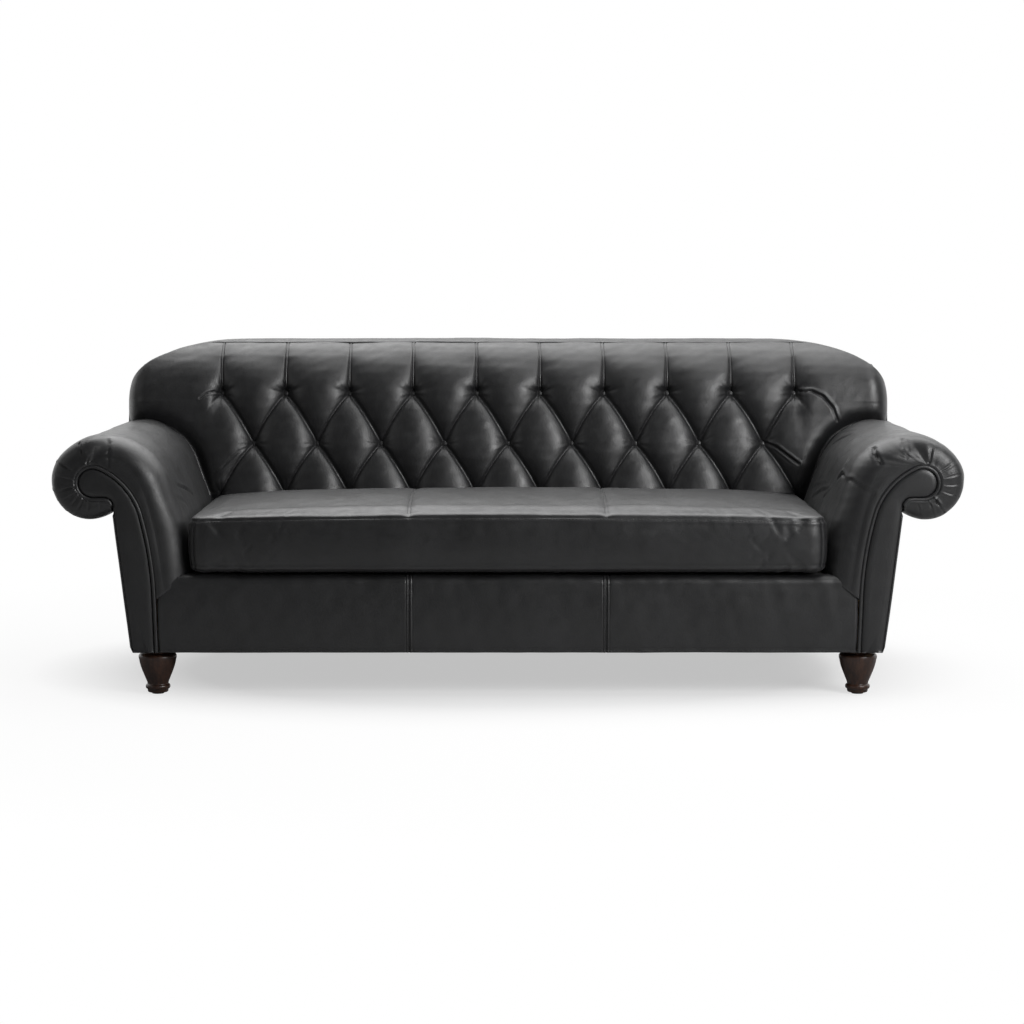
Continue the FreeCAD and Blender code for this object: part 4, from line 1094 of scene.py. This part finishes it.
def railProfile():
    cy, cz = rail["frontY"] + rail["radius"] + 0.004, rail["top"] - rail["radius"]
    a = np.array([rail["frontY"] + 0.004, rail["bottom"]])
    b = np.array([cy - rail["radius"], cz])
    z = np.linspace(a[1], b[1], 44)
    share = (z - a[1]) / (b[1] - a[1])
    y = a[0] + (b[0] - a[0]) * share - rail["bow"] * (1 - (2 * share - 1) ** 2)
    face = np.stack([y, z], 1)
    bend = arcPoints(cy, cz, rail["radius"], 180, 90, 12)
    top = np.stack([np.linspace(cy, rail["rearY"], 8), np.full(8, rail["top"])], 1)
    return np.concatenate([face[:-1], bend, top[1:]])


def buildRail():
    profile = railProfile()
    x = np.unique(np.concatenate([np.linspace(-rail["halfWide"], rail["halfWide"], 250)] +
                                 [np.linspace(s - 0.02, s + 0.02, 34) for s in (-rail["seamX"], rail["seamX"])]))
    normal = outlineNormals(profile)
    if normal[10, 0] > 0:
        normal = -normal
    length = lengthAlong(profile)
    rows = []
    for xi in x:
        place = np.stack([np.full(len(profile), xi), length, np.full(len(profile), 0.4)], 1)
        lazy = 0.0016 * waves(place, 0.22, 81) + 0.0005 * waves(place, 0.045, 82)
        push = lazy.copy()
        for s in (-rail["seamX"], rail["seamX"]):
            push -= 0.0026 * math.exp(-((xi - s) / 0.0022) ** 2)
            push -= 0.0012 * sum(math.exp(-((xi - s - e * rail["seamGap"]) / 0.0016) ** 2) for e in (-1, 1))
            push += 0.0012 * math.exp(-((abs(xi - s) - 0.0045) / 0.0028) ** 2)
        overHem = profile[:, 1] - rail["hemZ"]
        push -= 0.0022 * np.exp(-(overHem / 0.0016) ** 2) * (profile[:, 0] < -0.46)
        push += 0.0012 * np.exp(-((overHem + 0.005) / 0.004) ** 2) * (profile[:, 0] < -0.46)
        p = profile + normal * push[:, None]
        ring = np.concatenate([p, [[rail["rearY"], rail["baseZ"]], [rail["innerY"], rail["baseZ"]],
                                   [rail["innerY"], rail["bottom"]]]])
        rows.append(across(xi, ring))
    obj = closedGrid("front_rail_hide", np.array(rows), seatHide)
    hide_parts("front_rail_cover", "front_rail_pad")
    return obj


frontRail = buildRail()


# the bench cushion's wrinkles come from a short cloth run
cushion = dict(halfWide=0.791, frontY=-0.4905, rearY=0.130, bottom=0.3115, seamZ=0.4600, seamDrop=0.0095,
               crown=0.031, corner=0.042, heel=0.018, bulge=0.0065, seamX=0.246, rowGap=0.0042, voxel=0.0064,
               frames=20, pressure=4.0, cap=0.024, shrink=0.012, wrinkle=0.80, wrinkleMost=0.0019,
               rearPull=0.004, least=0.0006)
zipper = dict(half=0.560, z=0.385, high=0.030, rearY=0.1238, thick=0.0011, teethY=0.12505, tooth=0.0011,
              toothPitch=0.0020, toothHigh=0.0044, toothDeep=0.0015, toothStep=0.0007, inset=0.010)


def seamHeight(x):
    # the top seam hangs a little lower towards the arms
    return cushion["seamZ"] - cushion["seamDrop"] * np.clip(np.abs(x) / cushion["halfWide"], 0, 1) ** 2


def cushionBlock():
    # rounded slab, a little under size, that the cloth run blows up
    s = cushion["shrink"]
    x0, x1 = -cushion["halfWide"] + s, cushion["halfWide"] - s
    y0, y1 = cushion["frontY"] + s, cushion["rearY"] - s
    z0, z1 = cushion["bottom"] + 0.0015, cushion["seamZ"] - 0.006
    bm = bmesh.new()
    bmesh.ops.create_cube(bm, size=1.0)
    for v in bm.verts:
        v.co = Vector((x0 + (v.co.x + 0.5) * (x1 - x0), y0 + (v.co.y + 0.5) * (y1 - y0),
                       z0 + (v.co.z + 0.5) * (z1 - z0)))
    bmesh.ops.bevel(bm, geom=bm.edges[:], offset=0.012, segments=3, affect="EDGES", profile=0.6)
    mesh = bpy.data.meshes.new("cushion start")
    bm.to_mesh(mesh)
    bm.free()
    obj = bpy.data.objects.new("bench_cushion_hide", mesh)
    bpy.context.scene.collection.objects.link(obj)
    return obj


def swell(obj, voxel, pressure, frames, cap):
    # remesh evenly, blow up as cloth, and keep each point near where it began
    remesh = obj.modifiers.new("even", "REMESH")
    remesh.mode = "VOXEL"
    remesh.voxel_size = voxel
    deps = bpy.context.evaluated_depsgraph_get()
    mesh = bpy.data.meshes.new_from_object(obj.evaluated_get(deps))
    obj.modifiers.clear()
    obj.data = mesh
    start = pointsOf(mesh)
    began = time.time()
    cloth = obj.modifiers.new("swell", "CLOTH")
    for key, value in dict(use_pressure=True, uniform_pressure_force=pressure, quality=4, mass=0.4,
                           tension_stiffness=18, compression_stiffness=18, shear_stiffness=6,
                           bending_stiffness=0.8).items():
        setattr(cloth.settings, key, value)
    cloth.settings.effector_weights.gravity = 0.0
    cloth.collision_settings.use_self_collision = False
    cloth.point_cache.frame_start = 1
    cloth.point_cache.frame_end = frames
    scene = bpy.context.scene
    for f in range(1, frames + 1):
        scene.frame_set(f)
    deps = bpy.context.evaluated_depsgraph_get()
    end = pointsOf(obj.evaluated_get(deps).data)
    obj.modifiers.clear()
    scene.frame_set(1)
    print("cushion blown up in", round(time.time() - began), "s:", len(start), "points, moved",
          np.abs(end - start).max(0))
    move = end - start
    far = np.linalg.norm(move, axis=1)
    keep = np.where(far > cap, cap / np.maximum(far, 1e-9), 1.0)
    return start, start + move * keep[:, None]


def wrinklesOf(obj, points):
    # what is left of the blown-up shape when its broad swelling is taken away
    mesh = obj.data
    setPoints(mesh, points)
    calm = obj.modifiers.new("calm", "SMOOTH")
    calm.factor, calm.iterations = 0.5, 60
    deps = bpy.context.evaluated_depsgraph_get()
    still = pointsOf(obj.evaluated_get(deps).data)
    obj.modifiers.clear()
    left = (points - still) * cushion["wrinkle"]
    size = np.linalg.norm(left, axis=1)
    return left * np.minimum(1.0, cushion["wrinkleMost"] / np.maximum(size, 1e-9))[:, None]


def shapeCushion(start):
    # the sewn shape: rounded corners, full boxing, a crown, and both lower edges turned in
    c = cushion
    less = c["shrink"]
    middleY = (c["frontY"] + c["rearY"]) / 2
    halfDeep = (c["rearY"] - c["frontY"]) / 2
    u = np.clip(start[:, 0] / (c["halfWide"] - less), -1, 1)
    v = np.clip((start[:, 1] - middleY) / (halfDeep - less), -1, 1)
    w = np.clip((start[:, 2] - c["bottom"]) / (c["seamZ"] - 0.006 - c["bottom"]), 0, 1)
    x, y = u * c["halfWide"], v * halfDeep
    r = c["corner"]
    ax = (np.abs(x) - (c["halfWide"] - r)) / r
    ay = (np.abs(y) - (halfDeep - r)) / r
    both = (ax > 0) & (ay > 0)
    squeeze = np.where(both, np.maximum(ax, ay) / np.maximum(np.hypot(ax, ay), 1e-9), 1.0)
    x = np.where(both, np.sign(x) * (c["halfWide"] - r + ax * squeeze * r), x)
    y = np.where(both, np.sign(y) * (halfDeep - r + ay * squeeze * r), y)
    outX, outY = np.sign(u) * np.abs(u) ** 24, np.sign(v) * np.abs(v) ** 12
    size = np.maximum(np.hypot(outX, outY), 1e-6)
    fromSide = np.minimum((1 - np.abs(u)) * c["halfWide"], (1 - np.abs(v)) * halfDeep)
    side = 1 - smooth(0.0, 0.035, fromSide)
    high = w * (c["seamZ"] - c["bottom"])
    turnedIn = np.clip(1 - high / c["heel"], 0, 1)
    fullness = c["bulge"] - (c["bulge"] + c["rearPull"]) * smooth(0.4, 0.9, v)
    rounded = np.sin(math.pi * np.clip(w, 0.04, 0.96))
    out = side * (fullness * rounded - c["heel"] * (1 - np.sqrt(1 - turnedIn ** 2)))
    x, y = x + outX / size * out, middleY + y + outY / size * out
    z = c["bottom"] + w * (seamHeight(x) - c["bottom"])
    onTop = smooth(0.86, 1.0, w)
    z = z + onTop * c["crown"] * (1 - np.abs(u) ** 7) * (1 - np.abs(v) ** 2.6)
    place = np.stack([x, y, z], 1)
    z = z + onTop * (0.0016 * waves(place, 0.30, 91) + 0.0004 * waves(place, 0.06, 92))
    lazy = 0.0016 * waves(place, 0.25, 93) + 0.0004 * waves(place, 0.06, 94)
    y = y - (1 - onTop) * side * np.sign(-v) * lazy
    return np.stack([x, y, np.maximum(z, c["bottom"] + c["least"])], 1)


def sewCushion(co, normal):
    # valleys where the panels are sewn: round the top, round the bottom and twice across
    c = cushion
    level = np.linalg.norm(normal[:, :2], axis=1)
    onSide = smooth(0.55, 0.85, level)
    for place, deep in ((seamHeight(co[:, 0]) - 0.0075, 0.0026), (c["bottom"] + 0.0210, 0.0020)):
        groove = onSide * deep * np.exp(-((co[:, 2] - place) / 0.0024) ** 2)
        swellBeside = onSide * 0.0008 * np.exp(-((co[:, 2] - place + 0.007) / 0.004) ** 2)
        co = co - normal * (groove - swellBeside)[:, None]
    onTop = smooth(0.35, 0.75, normal[:, 2])
    for s in (-c["seamX"], c["seamX"]):
        off = co[:, 0] - s
        co[:, 2] -= onTop * (0.0030 * np.exp(-(off / 0.012) ** 2) + 0.0014 * np.exp(-(off / 0.0030) ** 2))
    return co


def buildCushion():
    obj = cushionBlock()
    start, points = swell(obj, cushion["voxel"], cushion["pressure"], cushion["frames"], cushion["cap"])
    wrinkles = wrinklesOf(obj, points)
    points = shapeCushion(start) + wrinkles
    points[:, 2] = np.maximum(points[:, 2], cushion["bottom"] + cushion["least"])
    setPoints(obj.data, points)
    detail = obj.modifiers.new("finer", "SUBSURF")
    detail.levels = detail.render_levels = 1
    deps = bpy.context.evaluated_depsgraph_get()
    fine = bpy.data.meshes.new_from_object(obj.evaluated_get(deps))
    obj.modifiers.clear()
    obj.data = fine
    co = pointsOf(fine)
    normal = np.empty(len(fine.vertices) * 3)
    fine.vertex_normals.foreach_get("vector", normal)
    co = sewCushion(co, normal.reshape(-1, 3))
    inZip = ((co[:, 1] > 0.10) & (np.abs(co[:, 0]) < zipper["half"] + 0.001) &
             (np.abs(co[:, 2] - zipper["z"]) < zipper["high"] / 2 + 0.0008))
    co[inZip, 1] = np.minimum(co[inZip, 1], zipper["rearY"] - 0.0004)
    fine.polygons.foreach_set("use_smooth", [True] * len(fine.polygons))
    setPoints(fine, co)
    fine.materials.append(seatHide)
    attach(obj, "cushion")
    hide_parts("cushion_cover", "cushion_core")
    return obj


benchCushion = buildCushion()
print("cushion made:", len(benchCushion.data.vertices), "points")


def buildZip():
    # a woven tape with a rib beside the teeth, and two rows of teeth that mesh
    x = np.linspace(-zipper["half"], zipper["half"], 380)
    z = np.linspace(-zipper["high"] / 2, zipper["high"] / 2, 25)
    front = zipper["rearY"] + zipper["thick"]
    rows = []
    for xi in x:
        ripple = 0.00025 * math.sin(xi * 61) * np.clip((np.abs(z) - 0.006) / 0.008, 0, 1)
        y = front - 0.00035 + ripple + 0.0003 * np.exp(-((np.abs(z) - 0.0055) / 0.0008) ** 2)
        face = np.stack([np.full(len(z), xi), y, zipper["z"] + z], 1)
        rear = np.array([[xi, zipper["rearY"], zipper["z"] + end] for end in (z[-1], z[0])])
        rows.append(np.concatenate([face, rear]))
    tape = closedGrid("zip_tape_woven", np.array(rows), baseCloth, body="cushion", slot="zip_tape_cloth")
    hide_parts("zip_tape")
    teeth = []
    count = int((2 * zipper["half"] - 2 * zipper["inset"]) / zipper["toothPitch"])
    for k in range(count + 1):
        xk = -zipper["half"] + zipper["inset"] + k * zipper["toothPitch"]
        zk = zipper["z"] + (zipper["toothStep"] if k % 2 else -zipper["toothStep"])
        y0, y1, h = zipper["teethY"], zipper["teethY"] + zipper["toothDeep"], zipper["toothHigh"] / 2
        ring = np.array([[0, y0, zk - h], [0, y0, zk + h], [0, y1 - 0.0004, zk + h],
                         [0, y1, zk + h - 0.0005], [0, y1, zk - h + 0.0005], [0, y1 - 0.0004, zk - h]])
        half = zipper["tooth"] / 2
        teeth.append((np.array([ring + [xk - half, 0, 0], ring + [xk + half, 0, 0]]), False))
    row = joinParts("zip_teeth_meshed", teeth, zipMetal, body="cushion", slot="zip_metal")
    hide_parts("zip_teeth")


buildZip()


stitch = dict(long=0.0052, gap=0.0026, radius=0.00065, grain=0.0013, proud=0.0002, dip=0.0011)


def stitchesOn(tree, lines, way):
    # short threads laid along lines on a surface, each end dipping into the hide
    parts = []
    for line in lines:
        line = resample(line, stitch["grain"])
        step = int(round((stitch["long"] + stitch["gap"]) / stitch["grain"]))
        count = int(round(stitch["long"] / stitch["grain"]))
        found = []
        for point in line:
            hit, normal, _, _ = tree.ray_cast(Vector(point - np.array(way) * 0.2), Vector(way), 0.5)
            found.append(None if hit is None else np.array(hit) + np.array(normal) * stitch["proud"])
        for i in range(0, len(found) - count - 1, step):
            run = found[i:i + count + 1]
            if any(f is None for f in run):
                continue
            run = np.array(run)
            run[[0, -1]] += np.array(way) * stitch["dip"]
            if np.abs(np.diff(run, axis=0)).max() < 0.006:
                parts.append((tubeAlong(run, stitch["radius"], 6), False))
    return parts


def treeOf(obj):
    return BVHTree.FromPolygons([Vector(p) for p in pointsOf(obj.data)],
                                [tuple(f.vertices) for f in obj.data.polygons])


def sewCushionThreads():
    tree = treeOf(benchCushion)
    rows = [s + e * cushion["rowGap"] for s in (-cushion["seamX"], cushion["seamX"]) for e in (-1, 1)]
    parts = stitchesOn(tree, [np.array([[x, -0.470, 0.50], [x, 0.110, 0.50]]) for x in rows], (0, 0, -1))
    x = np.linspace(-0.745, 0.745, 60)
    front = np.stack([x, np.full(60, -0.55), seamHeight(x) - 0.0115], 1)
    parts += stitchesOn(tree, [front], (0, 1, 0))
    joinParts("cushion_thread_rows", parts, threadBlack, body="cushion")
    return len(parts)


def sewRailThreads():
    tree = treeOf(frontRail)
    rows = [s + e * rail["stitchOff"] for s in (-rail["seamX"], rail["seamX"]) for e in (-1, 1)]
    parts = stitchesOn(tree, [np.array([[x, -0.55, 0.124], [x, -0.55, 0.286]]) for x in rows], (0, 1, 0))
    hem = np.array([[-0.868, -0.55, 0.1165], [0.868, -0.55, 0.1165]])
    parts += stitchesOn(tree, [hem], (0, 1, 0))
    joinParts("rail_thread_rows", parts, threadBlack)
    return len(parts)


print("stitches:", sewCushionThreads() + sewRailThreads())


def flatSheet(name, low, high, z, sag, seed, step=0.03, thick=0.0012):
    nx, ny = int((high[0] - low[0]) / step), int((high[1] - low[1]) / step)
    xs, ys = np.meshgrid(np.linspace(low[0], high[0], nx), np.linspace(low[1], high[1], ny))
    u = (xs - low[0]) / (high[0] - low[0])
    v = (ys - low[1]) / (high[1] - low[1])
    slack = (1 - (2 * u - 1) ** 6) * (1 - (2 * v - 1) ** 6)
    drop = sag * slack
    local = np.stack([xs, ys, np.zeros(xs.shape)], -1)
    zz = z + drop + 0.3 * abs(sag) * waves(local, 0.4, seed) * slack
    top = np.stack([xs, ys, zz + thick / 2], -1).reshape(-1, 3)
    under = np.stack([xs, ys, zz - thick / 2], -1).reshape(-1, 3)
    faces = gridFaces(ny, nx) + gridFaces(ny, nx, start=nx * ny, flip=True)
    faces += rimFaces(ny, nx)
    obj = newObject(name, np.concatenate([top, under]), faces, baseCloth, slot="base_cloth")
    fixNormals(obj)
    return obj


deckCloth = flatSheet("deck_cloth_sheet", (-0.786, -0.4157), (0.786, 0.196), 0.3106, -0.0008, 33)
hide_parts("deck_cloth", "deck_pad")
dustCloth = flatSheet("dust_cloth_sheet", (-0.925, -0.438), (0.925, 0.388), 0.1114, -0.002, 34)
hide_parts("dust_cloth")


leg = dict(x=0.883, frontY=-0.424, rearY=0.374, sides=48)


def legProfile():
    marks = [(0.0, 0.1095), (0.0360, 0.1095), (0.0372, 0.1080), (0.0372, 0.1050), (0.0384, 0.1034),
             (0.0430, 0.1022), (0.0468, 0.0990), (0.0479, 0.0955), (0.0476, 0.0912), (0.0462, 0.0860),
             (0.0450, 0.0790), (0.0426, 0.0700), (0.0392, 0.0600), (0.0352, 0.0500), (0.0312, 0.0400),
             (0.0278, 0.0320), (0.0266, 0.0275), (0.0263, 0.0255), (0.0270, 0.0243), (0.0292, 0.0232),
             (0.0306, 0.0210), (0.0310, 0.0180), (0.0305, 0.0152), (0.0290, 0.0130), (0.0268, 0.0118),
             (0.0262, 0.0108), (0.0259, 0.0075), (0.0252, 0.0050), (0.0240, 0.0041), (0.0, 0.0041)]
    return np.array(marks)


def buildLegs():
    profile = legProfile()
    for row, y in (("front", leg["frontY"]), ("rear", leg["rearY"])):
        verts, faces = [], []
        for x in (-leg["x"], leg["x"]):
            start = len(verts)
            for radius, z in profile:
                for k in range(leg["sides"]):
                    a = 2 * math.pi * k / leg["sides"]
                    verts.append((x + radius * math.cos(a), y + radius * math.sin(a), z))
            faces += gridFaces(len(profile), leg["sides"], closed=True, start=start)
        obj = newObject("turned_legs_" + row, verts, faces, legWood, slot="dark_leg_wood")
        fixNormals(obj)
        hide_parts(row + "_legs")


buildLegs()


# finishes on the solids that stay

finishes = {"frame_timber": frameWood, "thin_board": boardWood, "webbing": strapWeave, "zinc_steel": zincSteel,
            "glide_plastic": glideStuff, "zip_tape_cloth": baseCloth, "zip_metal": zipMetal,
            "upholstery_foam": foamStuff, "black_leather": armHide, "dark_leg_wood": legWood,
            "base_cloth": baseCloth}
for part in frame["record"]["subparts"]:
    solid = frame["nodes"].get(part["node"])
    if solid is None:
        continue
    solid.data.materials.clear()
    solid.data.materials.append(finishes[part["material_slot"]])
print("solids finished")


room = dict(floor=(0.44, 0.44, 0.44), lift=0.52, worldLight=0.12, reach=(1.25, 0.92),
            fade=((0.27, 0.0), (0.41, 0.82), (0.9, 1.0)))


def seenWhite(tree, behind):
    # 1 for rays from the camera or through glass, and for mirror rays that meet the backdrop behind
    paths = addNode(tree, "LightPath")
    glossy = addNode(tree, "Math", operation="MULTIPLY")
    joinNodes(tree, (paths.outputs["Is Glossy Ray"], glossy.inputs[0]), (behind, glossy.inputs[1]))
    first = addNode(tree, "Math", operation="ADD", use_clamp=True)
    joinNodes(tree, (paths.outputs["Is Camera Ray"], first.inputs[0]),
                    (paths.outputs["Is Transmission Ray"], first.inputs[1]))
    both = addNode(tree, "Math", operation="ADD", use_clamp=True)
    joinNodes(tree, (first.outputs[0], both.inputs[0]), (glossy.outputs[0], both.inputs[1]))
    return both.outputs[0]


def risingIn(tree, source, axis, low, high):
    # 0 to 1 as one coordinate goes from low to high
    split = addNode(tree, "SeparateXYZ")
    tree.links.new(source, split.inputs[0])
    share = addNode(tree, "MapRange", interpolation_type="SMOOTHSTEP")
    tree.links.new(split.outputs[axis], share.inputs["Value"])
    share.inputs["From Min"].default_value = low
    share.inputs["From Max"].default_value = high
    return share.outputs["Result"]


def buildFloor():
    size = 40.0
    mesh = bpy.data.meshes.new("floor")
    corners = [(-size, -size, 0), (size, -size, 0), (size, size, 0), (-size, size, 0)]
    mesh.from_pydata(corners, [], [(0, 1, 2, 3)])
    floor = bpy.data.objects.new("floor", mesh)
    bpy.context.scene.collection.objects.link(floor)
    material = bpy.data.materials.new("pale floor")
    material.use_nodes = True
    tree = material.node_tree
    tree.nodes.clear()
    out = addNode(tree, "OutputMaterial")
    place = addNode(tree, "TexCoord").outputs["Object"]
    plain = addNode(tree, "BsdfDiffuse")
    plain.inputs["Color"].default_value = (*room["floor"], 1)
    glow = addNode(tree, "Emission")
    lift = addNode(tree, "Math", operation="MULTIPLY")
    seen = seenWhite(tree, risingIn(tree, place, 1, 0.6, 1.4))
    tree.links.new(seen, lift.inputs[0])
    lift.inputs[1].default_value = room["lift"]
    tree.links.new(lift.outputs[0], glow.inputs["Strength"])
    near = addNode(tree, "AddShader")
    joinNodes(tree, (plain.outputs[0], near.inputs[0]), (glow.outputs[0], near.inputs[1]))
    # away from the sofa the floor runs into the white backdrop
    squeeze = addNode(tree, "Mapping")
    squeeze.inputs["Scale"].default_value = (0.4 / room["reach"][0], 0.4 / room["reach"][1], 1.0)
    tree.links.new(place, squeeze.inputs["Vector"])
    away = addNode(tree, "VectorMath", operation="LENGTH")
    tree.links.new(squeeze.outputs[0], away.inputs[0])
    far = addNode(tree, "Math", operation="MULTIPLY")
    tree.links.new(ramp(tree, away.outputs["Value"], room["fade"]), far.inputs[0])
    tree.links.new(seen, far.inputs[1])
    white = addNode(tree, "Emission")
    mix = addNode(tree, "MixShader")
    joinNodes(tree, (far.outputs[0], mix.inputs[0]), (near.outputs[0], mix.inputs[1]),
                    (white.outputs[0], mix.inputs[2]), (mix.outputs[0], out.inputs[0]))
    mesh.materials.append(material)


def buildBackdrop():
    world = bpy.data.worlds.new("studio")
    bpy.context.scene.world = world
    world.use_nodes = True
    tree = world.node_tree
    tree.nodes.clear()
    out = addNode(tree, "OutputWorld")
    sky = addNode(tree, "Background")
    white = addNode(tree, "Background")
    white.inputs["Color"].default_value = (1, 1, 1, 1)
    white.inputs["Strength"].default_value = 1.0
    sky.inputs["Color"].default_value = (1, 1, 1, 1)
    sky.inputs["Strength"].default_value = room["worldLight"]
    way = addNode(tree, "TexCoord").outputs["Generated"]
    mix = addNode(tree, "MixShader")
    tree.links.new(seenWhite(tree, risingIn(tree, way, 1, 0.05, 0.4)), mix.inputs[0])
    joinNodes(tree, (sky.outputs[0], mix.inputs[1]), (white.outputs[0], mix.inputs[2]),
                    (mix.outputs[0], out.inputs[0]))


def areaLight(name, place, target, size, power):
    data = bpy.data.lights.new(name, "AREA")
    data.shape = "RECTANGLE"
    data.size, data.size_y = size
    data.energy = power
    obj = bpy.data.objects.new(name, data)
    bpy.context.scene.collection.objects.link(obj)
    obj.location = place
    obj.rotation_euler = (Vector(target) - Vector(place)).to_track_quat("-Z", "Y").to_euler()
    return obj


buildFloor()
buildBackdrop()
areaLight("overhead soft box", (0.4, 0.7, 3.2), (0.1, 0.1, 0.4), (5.0, 3.0), 125)
areaLight("right front soft box", (3.0, -3.1, 2.3), (0.5, 0.0, 0.45), (1.6, 2.0), 120)
areaLight("left fill", (-4.2, -1.8, 2.2), (-0.2, 0.0, 0.5), (2.2, 2.2), 8)

camera = bpy.data.cameras.new("photo camera")
camera.lens = view["lens"]
camera.sensor_width = 36.0
cameraObject = bpy.data.objects.new("photo camera", camera)
bpy.context.scene.collection.objects.link(cameraObject)
cameraObject.location = view["place"]
cameraObject.rotation_euler = (rad(90 - view["tilt"]), 0, 0)
bpy.context.scene.camera = cameraObject
bpy.context.scene.view_settings.view_transform = "Standard"
